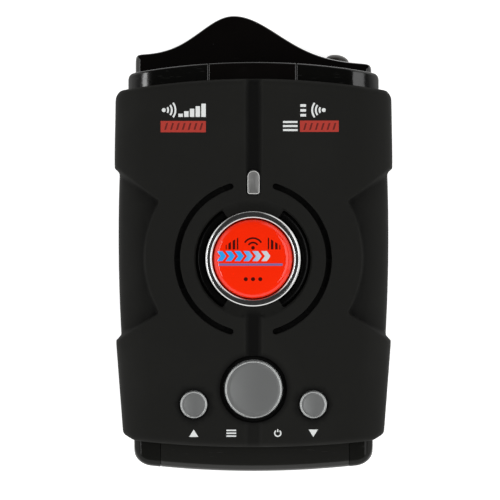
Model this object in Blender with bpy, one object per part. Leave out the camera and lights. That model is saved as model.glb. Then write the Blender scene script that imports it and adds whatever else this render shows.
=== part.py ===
"""Dashboard radar detector, slim and black, its nose lens to the windscreen and its display to the driver.

All sizes here are in millimetres, and add_solid() turns them into Blender's metres.
X is the width, +Y points at the windscreen, +Z is up, and Z 0 is the dashboard under the grip pads.
"""

import math

import bmesh
import bpy
from mathutils import Matrix, Vector

MM = 0.001
GAP = 0.3  # between pieces that touch on the real object

# --- outside of the case -------------------------------------------------------------------
HALF_WIDTH = 34.5  # at the shoulders ahead of the grips
CASE_MID_Y = -5.0  # the case shrinks towards this line as it is inset
CASE_HALF_LENGTH = 45.6
SHOULDER_Y, REAR_SHOULDER_Y = 21.5, -25.0
REAR_SHOULDER_X = 34.1
FRONT_CORNER = ((34.25, 36.2), (33.1, 37.8))
REAR_CORNER = ((29.6, -49.1), (32.4, -47.3))
FRONT_EDGE_Y, FRONT_EDGE_BOW = 40.7, 0.00265  # y = edge - bow * x^2
REAR_EDGE_Y, REAR_EDGE_BOW = -50.6, -0.00186
WALL = 2.0
LIP_INSET, LIP_HEIGHT = 3.2, 1.4
BASE_Z = 1.0  # underside of the lower case
PART_LINE_Z = 15.05
TOP_Z = 29.4
CEILING_Z = TOP_Z - WALL
FLOOR_Z = BASE_Z + WALL
ARC_STEPS = 6

# --- side grips -----------------------------------------------------------------------------
GRIP_DEPTH = 1.15
GRIP_FRONT_TIP = (23.1, 11.2)
GRIP_REAR_TIP = (23.5, -17.8)
GRIP_WAIST = (27.0, -2.4)
GRIP_FRONT_SLOPE = 0.78  # how far forward the front edge runs for each step outwards
GRIP_REAR_SLOPE = 0.70

# --- nose: brow above, bell-shaped lens below ------------------------------------------------
NOSE_BACK_Y = 35.3
NOSE_MOUTH_HALF = 31.4  # opening in the case that the nose fills
MOUTH_GAP = 0.4  # behind the nose, and ahead of the rear frame
BROW_HALF, BROW_TOP_Z, BROW_BASE_Z = 31.1, 27.1, 20.4
BROW_EDGE_Y, BROW_BOW = 44.9, 0.003
LEG_FRONT_Y = 41.0  # the brow's two legs run down beside the lens
LENS_HALF, LENS_TOP_Z, LENS_BASE_Z = 29.4, 20.1, 3.6
BELL_EDGE_Y, BELL_SLOPE = 45.7, -0.04
BELL_HEIGHT, BELL_X = 10.8, -4.7
BELL_SPREAD_LEFT, BELL_SPREAD_RIGHT = 12.0, 15.3
SKIN = 1.8  # wall of the nose and the rear frame
WINDOW_X = (-11.4, 10.9)
WINDOW_Z = 22.5
WINDOW_BACK_Y = NOSE_BACK_Y + 1.5
WINDOW_RECESS = 0.25
EYE_X, EYE_Z = 21.5, 12.0
EYE_HOLE_R, EYE_R, EYE_FLANGE_R, EYE_DOME = 3.2, 2.95, 3.8, 1.9

# --- rear frame and display -------------------------------------------------------------------
FRAME_FRONT_Y = -46.5
FRAME_HALF, FRAME_TOP_Z, FRAME_BASE_Z = 29.65, 25.5, 3.6
FRAME_EDGE_Y, FRAME_BOW = -56.75, -0.00215
FRAME_CORNER = 4.2
REAR_MOUTH_HALF = 30.05
DISPLAY_X = (-23.3, 24.0)
DISPLAY_Z = 8.0
DISPLAY_FRONT_Y = REAR_EDGE_Y + 1.6
DISPLAY_RECESS = 0.15

# --- centre of the top: speaker, badge, light, buttons ------------------------------------------
HUB = (-0.12, -3.95)
DISH_R, DISH_DEPTH = 14.4, 0.7
INNER_SLOT, INNER_SLOT_DEG = (11.6, 14.2), 58
OUTER_SLOT, OUTER_SLOT_DEG = (18.05, 19.55), 75
CLOTH_R = 20.6
BADGE_R, BADGE_INNER_R = 11.9, 10.0
GROOVE_HALF, GROOVE_DEPTH, REAR_GROOVE_DEPTH = 2.0, 0.8, 0.5
LIGHT_Y, LIGHT_HALF_X, LIGHT_HALF_Y = 15.0, 1.5, 2.9
LIGHT_FLANGE, LIGHT_FLANGE_T, LED_STAND_TOP_Z = 0.9, 1.0, 23.7
MENU = (0.0, -36.2)
MENU_R, MENU_WELL_R, MENU_WELL_DEPTH = 7.1, 8.1, 1.2
SIDE_KEY_X, SIDE_KEY_Y, SIDE_KEY_R = 14.8, -40.0, 3.35
KEY_CLEARANCE = 0.25
KEY_TOP_Z = 29.9
KEY_FLANGE = 1.1  # how far a key's flange reaches past its cap, under the case
KEY_STEM_R, KEY_STEM_Z = 1.6, 22.1
SWITCH_TOP_Z, SWITCH_WELL_Z = 21.0, 19.1

# --- inside -----------------------------------------------------------------------------------
BOARD_Z, BOARD_T = 16.0, 1.6
BOARD_TOP_Z = BOARD_Z + BOARD_T
BOARD_HALF, BOARD_Y = 21.8, (-45.0, 19.0)
BOSS_R, SCREW_HOLE_R, SCREW_R = 2.6, 1.35, 1.1
SCREW_PLACES = ((-26.5, 31.8), (26.5, 31.8), (-25.0, -41.5), (25.0, -41.5))
SCREW_SEAT_Z, SCREW_HEAD_R, SCREW_HEAD_T, SCREW_LENGTH = 4.5, 2.0, 1.4, 17.0
POST_PLACES, POST_R, POST_PILOT_R = ((-18.5, -35.0), (18.5, -35.0)), 2.2, 1.1
LUG_PLACES = ((-4.0, -12.0), (4.0, -12.0))  # where the horn is screwed up to the board
BOARD_GAP = 0.2  # under what stands on the board
JACK_Y, JACK_Z, JACK_NOSE_R, JACK_BORE_R = 24.5, 9.0, 3.2, 1.8
PAD_HALF, PAD_T, PAD_POCKET, LABEL_POCKET = 20.0, 1.3, 0.6, 0.5
FRONT_PAD_Y, REAR_PAD_Y, LABEL_Y = (14.0, 26.0), (-44.0, -32.0), (-25.0, 7.0)


# ================================================================================================
# Materials
# ================================================================================================


def finish(name, colour, roughness, metallic=0.0, alpha=1.0):
    """A Principled material with that colour."""
    material = bpy.data.materials.new(name)
    material.use_nodes = True
    shader = material.node_tree.nodes["Principled BSDF"]
    shader.inputs["Base Color"].default_value = (*colour, 1.0)
    shader.inputs["Roughness"].default_value = roughness
    shader.inputs["Metallic"].default_value = metallic
    shader.inputs["Alpha"].default_value = alpha
    return material


def make_finishes():
    return {
        "soft_black": finish("soft_black", (0.015, 0.015, 0.014), 0.6),
        "gloss_black": finish("gloss_black", (0.004, 0.004, 0.004), 0.08),
        "smoke_lens": finish("smoke_lens", (0.006, 0.005, 0.006), 0.05),
        "clear_lens": finish("clear_lens", (0.75, 0.78, 0.8), 0.04, alpha=0.4),
        "chrome": finish("chrome", (0.8, 0.8, 0.8), 0.12, 1.0),
        "red_resin": finish("red_resin", (0.85, 0.05, 0.01), 0.12),
        "silver_key": finish("silver_key", (0.15, 0.155, 0.153), 0.35, 0.5),
        "light_guide": finish("light_guide", (0.2, 0.2, 0.2), 0.25),
        "rubber": finish("rubber", (0.02, 0.02, 0.02), 0.8),
        "label": finish("label", (0.4, 0.4, 0.4), 0.4),
        "cloth": finish("cloth", (0.01, 0.01, 0.01), 0.9),
        "board_green": finish("board_green", (0.01, 0.09, 0.03), 0.4),
        "chip_black": finish("chip_black", (0.02, 0.02, 0.02), 0.5),
        "zinc": finish("zinc", (0.5, 0.5, 0.5), 0.4, 1.0),
        "steel": finish("steel", (0.45, 0.45, 0.47), 0.35, 1.0),
        "cone_paper": finish("cone_paper", (0.05, 0.05, 0.05), 0.9),
    }


# ================================================================================================
# Outlines, as lists of (x, y)
# ================================================================================================


def steps(first, last, count):
    return [first + (last - first) * i / count for i in range(count + 1)]


def circle(radius, count, centre=(0.0, 0.0)):
    angles = [2 * math.pi * i / count for i in range(count)]
    return [(centre[0] + radius * math.cos(a), centre[1] + radius * math.sin(a)) for a in angles]


def rectangle(x_range, y_range):
    (x0, x1), (y0, y1) = x_range, y_range
    return [(x0, y0), (x1, y0), (x1, y1), (x0, y1)]


def arc(centre, radius, from_deg, to_deg, count):
    angles = [math.radians(a) for a in steps(from_deg, to_deg, count)]
    return [(centre[0] + radius * math.cos(a), centre[1] + radius * math.sin(a)) for a in angles]


def arc_slot(radii, middle_deg, half_deg, count):
    """A slot along an arc of the hub, with square ends."""
    start, end = middle_deg - half_deg, middle_deg + half_deg
    return arc(HUB, radii[1], start, end, count) + arc(HUB, radii[0], end, start, count)


def mirrored(half):
    """A whole outline from its right half, listed from the rear centre to the front centre."""
    left = [(-x, y) for x, y in reversed(half) if x > 1e-6]
    return half + left


def case_outline(inset_x=0.0, inset_y=0.0):
    """The case from above, shrunk by these amounts at its widest and at its ends."""
    rear = [(x, REAR_EDGE_Y - REAR_EDGE_BOW * x * x) for x in steps(0, REAR_CORNER[0][0], ARC_STEPS)]
    front = [(x, FRONT_EDGE_Y - FRONT_EDGE_BOW * x * x) for x in steps(FRONT_CORNER[1][0], 0, ARC_STEPS)]
    side = [REAR_CORNER[1], (REAR_SHOULDER_X, REAR_SHOULDER_Y), (HALF_WIDTH, SHOULDER_Y), FRONT_CORNER[0]]
    scale_x = 1 - inset_x / HALF_WIDTH
    scale_y = 1 - inset_y / CASE_HALF_LENGTH
    return [
        (x * scale_x, CASE_MID_Y + (y - CASE_MID_Y) * scale_y) for x, y in mirrored(rear + side + front)
    ]


def grip_outline(side):
    """One grip from above: two slanting edges that meet a bowed inner edge, open past the case's side."""
    outside = HALF_WIDTH + 4
    run_front = GRIP_FRONT_SLOPE * (outside - GRIP_FRONT_TIP[0])
    run_rear = GRIP_REAR_SLOPE * (outside - GRIP_REAR_TIP[0])
    inner = []
    for t in steps(0, 1, 8):
        y = GRIP_FRONT_TIP[1] + (GRIP_REAR_TIP[1] - GRIP_FRONT_TIP[1]) * t
        tip_x = GRIP_FRONT_TIP[0] + (GRIP_REAR_TIP[0] - GRIP_FRONT_TIP[0]) * t
        inner.append((tip_x + (GRIP_WAIST[0] - tip_x) * math.sin(math.pi * t), y))
    points = [
        (outside, GRIP_FRONT_TIP[1] + run_front),
        *inner,
        (outside, GRIP_REAR_TIP[1] - run_rear),
    ]
    return [(side * x, y) for x, y in points]


def bell_edge(x):
    """Front edge of the nose lens: a sloping line with an off-centre bell on it."""
    spread = BELL_SPREAD_LEFT if x < BELL_X else BELL_SPREAD_RIGHT
    return BELL_EDGE_Y + BELL_SLOPE * x + BELL_HEIGHT * math.exp(-(((x - BELL_X) / spread) ** 2))


def bell_outline(inset=0.0, back=NOSE_BACK_Y):
    """The nose lens from above, with every wall moved inwards by inset, and its back at that y."""
    half = LENS_HALF - inset
    points = [(-half, back), (half, back)]
    for x in steps(half, -half, 40):
        slope = (bell_edge(x + 0.05) - bell_edge(x - 0.05)) / 0.1
        points.append((x, bell_edge(x) - inset * math.hypot(1, slope)))
    return points


def brow_outline(inset=0.0, back=NOSE_BACK_Y):
    half = BROW_HALF - inset
    front = [(x, BROW_EDGE_Y - BROW_BOW * x * x - inset) for x in steps(half - 1.2, 1.2 - half, 16)]
    right_side = front[0][1] - 1.3
    return [(-half, back), (half, back), (half, right_side), *front, (-half, right_side)]


def frame_outline(inset=0.0, front=FRAME_FRONT_Y):
    """The rear frame from above: a bowed back edge and round corners."""
    half = FRAME_HALF - inset
    corner = max(FRAME_CORNER - inset, 1.0)
    turn = half - corner
    edge = [(x, FRAME_EDGE_Y - FRAME_BOW * x * x + inset) for x in steps(-turn, turn, 12)]
    centre_y = edge[-1][1] + corner
    right = arc((turn, centre_y), corner, -75, 0, 4)
    left = [(-x, y) for x, y in reversed(right)]
    return [(half, front), (-half, front), *left, *edge, *right]


def light_outline(grow=0.0):
    """The status light: round at its front end, nearly square at the other."""
    half_x, half_y = LIGHT_HALF_X + grow, LIGHT_HALF_Y + grow
    corner = 0.5 + grow
    top = arc((0, LIGHT_Y + half_y - half_x), half_x, 0, 180, 8)
    left = arc((corner - half_x, LIGHT_Y - half_y + corner), corner, 180, 270, 3)
    right = arc((half_x - corner, LIGHT_Y - half_y + corner), corner, 270, 360, 3)
    return top + left + right


# ================================================================================================
# Solids
# ================================================================================================


def add_solid(name, bm, material, location=(0, 0, 0), turn=None):
    """A named object from a mesh in millimetres, with its origin at location."""
    bmesh.ops.recalc_face_normals(bm, faces=bm.faces)
    bmesh.ops.scale(bm, vec=(MM, MM, MM), verts=bm.verts)
    mesh = bpy.data.meshes.new(name)
    bm.to_mesh(mesh)
    bm.free()
    mesh.shade_smooth()
    mesh.set_sharp_from_angle(angle=math.radians(35))
    obj = bpy.data.objects.new(name, mesh)
    bpy.context.scene.collection.objects.link(obj)
    obj.location = Vector(location) * MM
    if turn:
        obj.rotation_euler = turn
    if material:
        mesh.materials.append(material)
    return obj


def loft(name, rings, material=None, location=(0, 0, 0), turn=None, closed=False):
    """A skin through rings of (x, y, z), capped at both ends, or joined end to start where closed."""
    bm = bmesh.new()
    rows = [[bm.verts.new(point) for point in ring] for ring in rings]
    pairs = list(zip(rows, rows[1:]))
    if closed:
        pairs.append((rows[-1], rows[0]))
    for lower, upper in pairs:
        for i in range(len(lower)):
            j = (i + 1) % len(lower)
            bm.faces.new((lower[i], lower[j], upper[j], upper[i]))
    if not closed:
        bm.faces.new(rows[0])
        bm.faces.new(rows[-1])
    return add_solid(name, bm, material, location, turn)


def at_height(outline, z):
    return [(x, y, z) for x, y in outline]


def prism(name, outline, z_range, material=None, **place):
    return loft(name, [at_height(outline, z_range[0]), at_height(outline, z_range[1])], material, **place)


def block(name, x_range, y_range, z_range, material=None, edge=0.0):
    """A box, its origin at its centre, with its edges broken by a bevel where edge is given."""
    centre = [(low + high) / 2 for low, high in (x_range, y_range, z_range)]
    size = [(high - low) / 2 for low, high in (x_range, y_range, z_range)]
    outline = rectangle((-size[0], size[0]), (-size[1], size[1]))
    obj = prism(name, outline, (-size[2], size[2]), material, location=centre)
    if edge:
        bevel = obj.modifiers.new("edges", "BEVEL")
        bevel.width = edge * MM
        bevel.segments = 1
    return obj


def turned(name, profile, count, material=None, location=(0, 0, 0), turn=None, closed=False):
    """A solid of revolution about Z from (radius, z) pairs, with flat ends or, where closed, a ring."""
    rings = [at_height(circle(radius, count), z) for radius, z in profile]
    return loft(name, rings, material, location, turn, closed)


def use_tool(target, tool, operation):
    """Cuts, joins or keeps target with tool, which is itself left out of the model."""
    tool.hide_render = True
    tool.display_type = "WIRE"
    change = target.modifiers.new(tool.name, "BOOLEAN")
    change.operation = operation
    change.object = tool


def cut(target, *tools):
    for tool in tools:
        use_tool(target, tool, "DIFFERENCE")


def join(target, *tools):
    for tool in tools:
        use_tool(target, tool, "UNION")


# ================================================================================================
# Case
# ================================================================================================

UPPER_OUTSIDE = (  # inset across, inset along, height, from the top face down to the parting line
    (6.0, 1.3, TOP_Z),
    (4.2, 1.0, TOP_Z - 0.2),
    (2.4, 0.7, TOP_Z - 0.9),
    (1.1, 0.4, TOP_Z - 2.2),
    (0.45, 0.2, TOP_Z - 4.0),
    (0.3, 0.1, TOP_Z - 6.4),
    (0.0, 0.0, PART_LINE_Z + GAP / 2),
)
UPPER_INSIDE = (
    (2.0, 2.0, PART_LINE_Z + GAP / 2),
    (2.3, 2.0, TOP_Z - 5.9),
    (3.2, 2.3, TOP_Z - 3.6),
    (5.0, 2.8, CEILING_Z - 0.4),
    (7.0, 3.2, CEILING_Z),
)
LOWER_OUTSIDE = (
    (4.5, 3.6, BASE_Z),
    (3.0, 2.4, BASE_Z + 0.25),
    (1.7, 1.4, BASE_Z + 1.3),
    (0.9, 0.8, BASE_Z + 3.2),
    (0.4, 0.4, BASE_Z + 6.5),
    (0.0, 0.0, PART_LINE_Z - GAP / 2),
)
LOWER_INSIDE = (  # first the lip that stands inside the upper case and closes the seam
    (2.3, 2.3, PART_LINE_Z - GAP / 2),
    (2.3, 2.3, PART_LINE_Z + LIP_HEIGHT),
    (LIP_INSET, LIP_INSET, PART_LINE_Z + LIP_HEIGHT),
    (LIP_INSET, LIP_INSET, PART_LINE_Z - LIP_HEIGHT),
    (2.2, 2.2, PART_LINE_Z - 2 * LIP_HEIGHT),
    (2.5, 2.5, BASE_Z + 6.5),
    (3.2, 3.0, BASE_Z + 3.2),
    (4.5, 4.0, FLOOR_Z),
)


def case_rings(table, extra=0.0, drop=0.0):
    return [at_height(case_outline(ix + extra, iy), z - drop) for ix, iy, z in table]


def grip_cutters(half_name, table, drop):
    """One cutter for each side: the grip's prism less the core that stays, so the grip follows the shell."""
    cutters = []
    for label, side in (("left", -1), ("right", 1)):
        cutter = prism(f"{half_name}_{label}_grip_cut", grip_outline(side), (BASE_Z - 6, TOP_Z + 6))
        core = loft(f"{half_name}_{label}_grip_core", case_rings(table, GRIP_DEPTH, drop))
        cut(cutter, core)
        cutters.append(cutter)
    return cutters


def make_upper_case(look):
    case = loft("upper_case", case_rings(UPPER_OUTSIDE + UPPER_INSIDE), look["soft_black"])
    core_table = UPPER_OUTSIDE + ((0.0, 0.0, PART_LINE_Z - 8),)
    cut(case, *grip_cutters("upper", core_table, GRIP_DEPTH * 0.7))
    for i, place in enumerate(SCREW_PLACES):
        join(case, prism(f"upper_boss_{i}", circle(BOSS_R, 12, place), (PART_LINE_Z + 0.4, CEILING_Z + 0.5)))
    for i, place in enumerate(SCREW_PLACES):
        cut(case, prism(f"upper_pilot_{i}", circle(SCREW_HOLE_R, 10, place), (PART_LINE_Z - 1, TOP_Z - 6)))
    mouth = rectangle((-NOSE_MOUTH_HALF, NOSE_MOUTH_HALF), (NOSE_BACK_Y - MOUTH_GAP, FRONT_EDGE_Y + 3))
    cut(case, prism("upper_nose_mouth", mouth, (0, BROW_TOP_Z + GAP)))
    rear_mouth = rectangle((-REAR_MOUTH_HALF, REAR_MOUTH_HALF), (REAR_EDGE_Y - 3, FRAME_FRONT_Y + MOUTH_GAP))
    cut(case, prism("upper_rear_mouth", rear_mouth, (0, FRAME_TOP_Z + GAP)))
    above = TOP_Z + 2
    through = (CEILING_Z - 3, above)
    groove_x = (-GROOVE_HALF, GROOVE_HALF)
    groove_z = (TOP_Z - GROOVE_DEPTH, above)
    cut(
        case,
        prism("dish_cut", circle(DISH_R, 48, HUB), (TOP_Z - DISH_DEPTH, above)),
        block("front_groove", groove_x, (LIGHT_Y + 1, 43), groove_z),
        block("middle_groove", groove_x, (MENU[1] + 6, HUB[1] - DISH_R + 0.5), groove_z),
        block("rear_groove", groove_x, (-53, MENU[1] - 6), (TOP_Z - REAR_GROOVE_DEPTH, above)),
        prism("light_hole", light_outline(GAP), through),
        prism("menu_well", circle(MENU_WELL_R, 40, MENU), (TOP_Z - MENU_WELL_DEPTH, above)),
        prism("menu_hole", circle(MENU_R + KEY_CLEARANCE, 40, MENU), through),
    )
    for label, middle in (("right", 0), ("left", 180)):
        cut(
            case,
            prism(f"{label}_inner_slot", arc_slot(INNER_SLOT, middle, INNER_SLOT_DEG, 14), through),
            prism(f"{label}_outer_slot", arc_slot(OUTER_SLOT, middle, OUTER_SLOT_DEG, 18), through),
        )
    for label, x in (("up", -SIDE_KEY_X), ("down", SIDE_KEY_X)):
        hole = circle(SIDE_KEY_R + KEY_CLEARANCE, 28, (x, SIDE_KEY_Y))
        cut(case, prism(f"{label}_hole", hole, through))


def make_lower_case(look):
    case = loft("lower_case", case_rings(LOWER_OUTSIDE + LOWER_INSIDE), look["soft_black"])
    core_table = LOWER_OUTSIDE + ((0.0, 0.0, PART_LINE_Z + 8),)
    cut(case, *grip_cutters("lower", core_table, 0.0))
    for i, place in enumerate(SCREW_PLACES):
        boss = circle(BOSS_R + 0.4, 12, place)
        join(case, prism(f"lower_boss_{i}", boss, (FLOOR_Z - 0.5, PART_LINE_Z - 0.4)))
    for i, place in enumerate(POST_PLACES):
        join(case, prism(f"board_post_{i}", circle(POST_R, 10, place), (FLOOR_Z - 0.5, BOARD_Z - GAP)))
    for i, place in enumerate(SCREW_PLACES):
        cut(
            case,
            prism(f"screw_seat_{i}", circle(SCREW_HEAD_R + 0.4, 16, place), (BASE_Z - 1, SCREW_SEAT_Z)),
            prism(f"screw_hole_{i}", circle(SCREW_HOLE_R, 10, place), (SCREW_SEAT_Z - 1, PART_LINE_Z + 1)),
        )
    for i, place in enumerate(POST_PLACES):
        cut(case, prism(f"post_pilot_{i}", circle(POST_PILOT_R, 8, place), (FLOOR_Z + 2, BOARD_Z + 1)))
    nose = rectangle((-NOSE_MOUTH_HALF, NOSE_MOUTH_HALF), (NOSE_BACK_Y - MOUTH_GAP, FRONT_EDGE_Y + 3))
    rear = rectangle((-REAR_MOUTH_HALF, REAR_MOUTH_HALF), (REAR_EDGE_Y - 3, FRAME_FRONT_Y + MOUTH_GAP))
    jack_hole = circle(JACK_NOSE_R + GAP, 20)
    sideways = {"location": (HALF_WIDTH - 5, JACK_Y, JACK_Z), "turn": (0, math.pi / 2, 0)}
    cut(
        case,
        prism("lower_nose_mouth", nose, (LENS_BASE_Z - GAP, PART_LINE_Z + 5)),
        prism("lower_rear_mouth", rear, (FRAME_BASE_Z - GAP, PART_LINE_Z + 5)),
        prism("jack_hole", jack_hole, (0, 8), **sideways),
    )
    half = PAD_HALF + GAP
    pockets = (
        ("front_pad", FRONT_PAD_Y, PAD_POCKET),
        ("rear_pad", REAR_PAD_Y, PAD_POCKET),
        ("label", LABEL_Y, LABEL_POCKET),
    )
    for name, (low_y, high_y), depth in pockets:
        pocket_y = (low_y - GAP, high_y + GAP)
        cut(case, block(f"{name}_pocket", (-half, half), pocket_y, (BASE_Z - 1, BASE_Z + depth)))


# ================================================================================================
# Nose and rear frame
# ================================================================================================

BROW_SKIN = ((0.8, BROW_TOP_Z), (0.3, BROW_TOP_Z - 0.2), (0.0, BROW_TOP_Z - 0.8), (0.0, BROW_BASE_Z))
LENS_SKIN = (
    (0.9, LENS_TOP_Z),
    (0.3, LENS_TOP_Z - 0.25),
    (0.0, LENS_TOP_Z - 1.0),
    (0.0, LENS_BASE_Z + 0.9),
    (0.9, LENS_BASE_Z),
)
FRAME_SKIN = (
    (2.4, FRAME_TOP_Z),
    (1.5, FRAME_TOP_Z - 0.35),
    (0.7, FRAME_TOP_Z - 1.2),
    (0.15, FRAME_TOP_Z - 2.8),
    (0.0, FRAME_TOP_Z - 5.0),
    (0.0, FRAME_BASE_Z + 2.4),
    (0.6, FRAME_BASE_Z + 0.8),
    (1.5, FRAME_BASE_Z),
)


def make_nose(look):
    brow = loft("front_bezel", [at_height(brow_outline(i), z) for i, z in BROW_SKIN], look["gloss_black"])
    for label, side in (("left", -1), ("right", 1)):
        leg_x = sorted((side * (LENS_HALF + GAP), side * BROW_HALF))
        leg = block(f"{label}_leg", leg_x, (NOSE_BACK_Y, LEG_FRONT_Y), (LENS_BASE_Z, BROW_BASE_Z + 2))
        join(brow, leg)
    hollow = brow_outline(SKIN, back=NOSE_BACK_Y - 2)
    notch = rectangle(WINDOW_X, (WINDOW_BACK_Y, BROW_EDGE_Y + 2))
    cut(
        brow,
        prism("brow_hollow", hollow, (BROW_BASE_Z - 1, BROW_TOP_Z - SKIN)),
        prism("brow_notch", notch, (WINDOW_Z, BROW_TOP_Z + 2)),
    )
    window_skin = [at_height(brow_outline(i + WINDOW_RECESS), z - WINDOW_RECESS) for i, z in BROW_SKIN]
    window = loft("laser_window", window_skin, look["smoke_lens"])
    keep = rectangle((WINDOW_X[0] + GAP, WINDOW_X[1] - GAP), (WINDOW_BACK_Y + GAP, BROW_EDGE_Y + 2))
    use_tool(window, prism("window_keep", keep, (WINDOW_Z + GAP, BROW_TOP_Z + 2)), "INTERSECT")
    cut(window, prism("window_hollow", hollow, (BROW_BASE_Z - 1, BROW_TOP_Z - SKIN)))

    lens = loft("front_lens", [at_height(bell_outline(i), z) for i, z in LENS_SKIN], look["smoke_lens"])
    inside = bell_outline(SKIN, back=NOSE_BACK_Y - 2)
    axis_turn, place = eye_place()
    cut(
        lens,
        prism("lens_hollow", inside, (LENS_BASE_Z + SKIN, LENS_TOP_Z - SKIN)),
        prism("eye_hole", circle(EYE_HOLE_R, 24), (-5, 5), location=place, turn=axis_turn),
    )
    seat = -SKIN - 0.35  # the flange lies just behind the lens's wall
    dome = [(EYE_R * math.cos(a), EYE_DOME * math.sin(a)) for a in steps(0, math.radians(75), 4)]
    profile = [(EYE_FLANGE_R, seat - 0.8), (EYE_FLANGE_R, seat), (EYE_R, seat), *dome]
    turned("eye_lens", profile, 24, look["clear_lens"], location=place, turn=axis_turn)


def eye_place():
    """Turn and place of the round eye lens, square to the nose's front wall."""
    slope = (bell_edge(EYE_X + 0.5) - bell_edge(EYE_X - 0.5)) / 1.0
    lean = math.atan(slope)
    turn = (Matrix.Rotation(lean, 3, "Z") @ Matrix.Rotation(-math.pi / 2, 3, "X")).to_euler()
    return turn, (EYE_X, bell_edge(EYE_X), EYE_Z)


def make_rear(look):
    skin = [at_height(frame_outline(i), z) for i, z in FRAME_SKIN]
    frame = loft("rear_bezel", skin, look["gloss_black"])
    hollow = frame_outline(SKIN, front=FRAME_FRONT_Y + 2)
    notch = rectangle(DISPLAY_X, (FRAME_EDGE_Y - 2, DISPLAY_FRONT_Y))
    hollow_z = (FRAME_BASE_Z + SKIN, FRAME_TOP_Z - SKIN)
    cut(
        frame,
        prism("frame_hollow", hollow, hollow_z),
        prism("display_notch", notch, (DISPLAY_Z, FRAME_TOP_Z + 2)),
    )
    window_skin = [at_height(frame_outline(i + DISPLAY_RECESS), z - DISPLAY_RECESS) for i, z in FRAME_SKIN]
    window = loft("display_window", window_skin, look["smoke_lens"])
    keep = rectangle((DISPLAY_X[0] + GAP, DISPLAY_X[1] - GAP), (FRAME_EDGE_Y - 2, DISPLAY_FRONT_Y - GAP))
    use_tool(window, prism("display_keep", keep, (DISPLAY_Z + GAP, FRAME_TOP_Z + 2)), "INTERSECT")
    cut(window, prism("display_hollow", hollow, (FRAME_BASE_Z, hollow_z[1])))


# ================================================================================================
# Top: badge, light and keys
# ================================================================================================


def make_badge(look):
    floor = TOP_Z - DISH_DEPTH + 0.2
    place = (*HUB, 0)
    ring = (
        (BADGE_INNER_R, floor),
        (BADGE_R - 0.3, floor),
        (BADGE_R, floor + 0.4),
        (BADGE_R, floor + 1.2),
        (BADGE_R - 0.5, floor + 1.8),
        (BADGE_INNER_R + 0.6, floor + 1.8),
        (BADGE_INNER_R, floor + 1.3),
    )
    turned("badge_ring", ring, 48, look["chrome"], location=place, closed=True)
    dome = [
        (BADGE_INNER_R - 0.2, floor),
        (BADGE_INNER_R - 0.2, floor + 1.0),
        (BADGE_INNER_R - 0.7, floor + 1.45),
        (BADGE_INNER_R * 0.75, floor + 1.85),
        (BADGE_INNER_R * 0.4, floor + 2.15),
        (BADGE_INNER_R * 0.12, floor + 2.25),
    ]
    turned("badge_dome", dome, 40, look["red_resin"], location=place)


def make_light(look):
    under = CEILING_Z - GAP
    rings = [
        at_height(light_outline(LIGHT_FLANGE), under - LIGHT_FLANGE_T),
        at_height(light_outline(LIGHT_FLANGE), under),
        at_height(light_outline(0.0), under),
        at_height(light_outline(0.0), TOP_Z - 0.1),
        at_height(light_outline(-0.3), TOP_Z + 0.15),
    ]
    loft("light_pipe", rings, look["light_guide"])
    led_z = (LED_STAND_TOP_Z + GAP, under - LIGHT_FLANGE_T - GAP)
    block("status_led", (-1.0, 1.0), (LIGHT_Y - 1.2, LIGHT_Y + 1.2), led_z, look["light_guide"])
    stand_z = (BOARD_TOP_Z + BOARD_GAP, LED_STAND_TOP_Z)
    block("led_stand", (-2.0, 2.0), (LIGHT_Y - 2.0, LIGHT_Y + 2.0), stand_z, look["chip_black"], edge=0.3)


def make_key(name, centre, radius, count, look):
    """A key: cap, retaining flange and stem in one moulding, and the switch that it presses."""
    x, y = centre
    flange_top = CEILING_Z - GAP
    base = flange_top - 1.0
    profile = [
        (KEY_STEM_R, KEY_STEM_Z),
        (KEY_STEM_R, base),
        (radius + KEY_FLANGE, base),
        (radius + KEY_FLANGE, flange_top),
        (radius, flange_top),
        (radius, KEY_TOP_Z - 0.35),
        (radius - 0.15, KEY_TOP_Z - 0.1),
        (radius - 0.4, KEY_TOP_Z),
    ]
    lowered = [(r, z - KEY_TOP_Z) for r, z in profile]
    turned(f"{name}_button", lowered, count, look["silver_key"], location=(x, y, KEY_TOP_Z))
    switch_z = (BOARD_TOP_Z + BOARD_GAP, SWITCH_TOP_Z)
    housing = block(f"{name}_switch", (x - 3, x + 3), (y - 3, y + 3), switch_z, look["chip_black"])
    well = circle(KEY_STEM_R + GAP, 12, centre)
    cut(housing, prism(f"{name}_switch_well", well, (SWITCH_WELL_Z, SWITCH_TOP_Z + 1)))
    plunger_top = KEY_STEM_Z - BOARD_GAP
    plunger = [(KEY_STEM_R, SWITCH_WELL_Z + 0.8 - plunger_top), (KEY_STEM_R, 0.0)]
    turned(f"{name}_plunger", plunger, 12, look["chip_black"], location=(x, y, plunger_top))


# ================================================================================================
# Inside: speaker, boards, antenna, power
# ================================================================================================


def make_speaker(look):
    cloth_z = (CEILING_Z - 1.0, CEILING_Z - 0.4)
    cloth = prism("speaker_cloth", circle(CLOTH_R, 40, HUB), cloth_z, look["cloth"])
    cut(cloth, block("cloth_notch", (-3, 3), (HUB[1] + 14.8, LIGHT_Y + 6), (CEILING_Z - 3, TOP_Z)))
    place = (*HUB, 0)
    frame = (
        (12.2, 26.0),
        (14.4, 26.0),
        (14.4, 24.6),
        (13.2, 24.2),
        (8.6, 21.6),
        (8.6, 21.0),
        (6.2, 21.0),
        (6.2, 21.8),
        (8.0, 22.2),
        (12.2, 25.0),
    )
    turned("speaker_frame", frame, 32, look["steel"], location=place, closed=True)
    cone = ((11.9, 25.4), (11.9, 25.9), (5.0, 22.9), (1.0, 23.8), (1.0, 23.3), (5.0, 22.4))
    turned("speaker_cone", cone, 32, look["cone_paper"], location=place, closed=True)
    turned("speaker_magnet", [(5.9, 18.6), (5.9, 20.7)], 28, look["zinc"], location=place)


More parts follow.
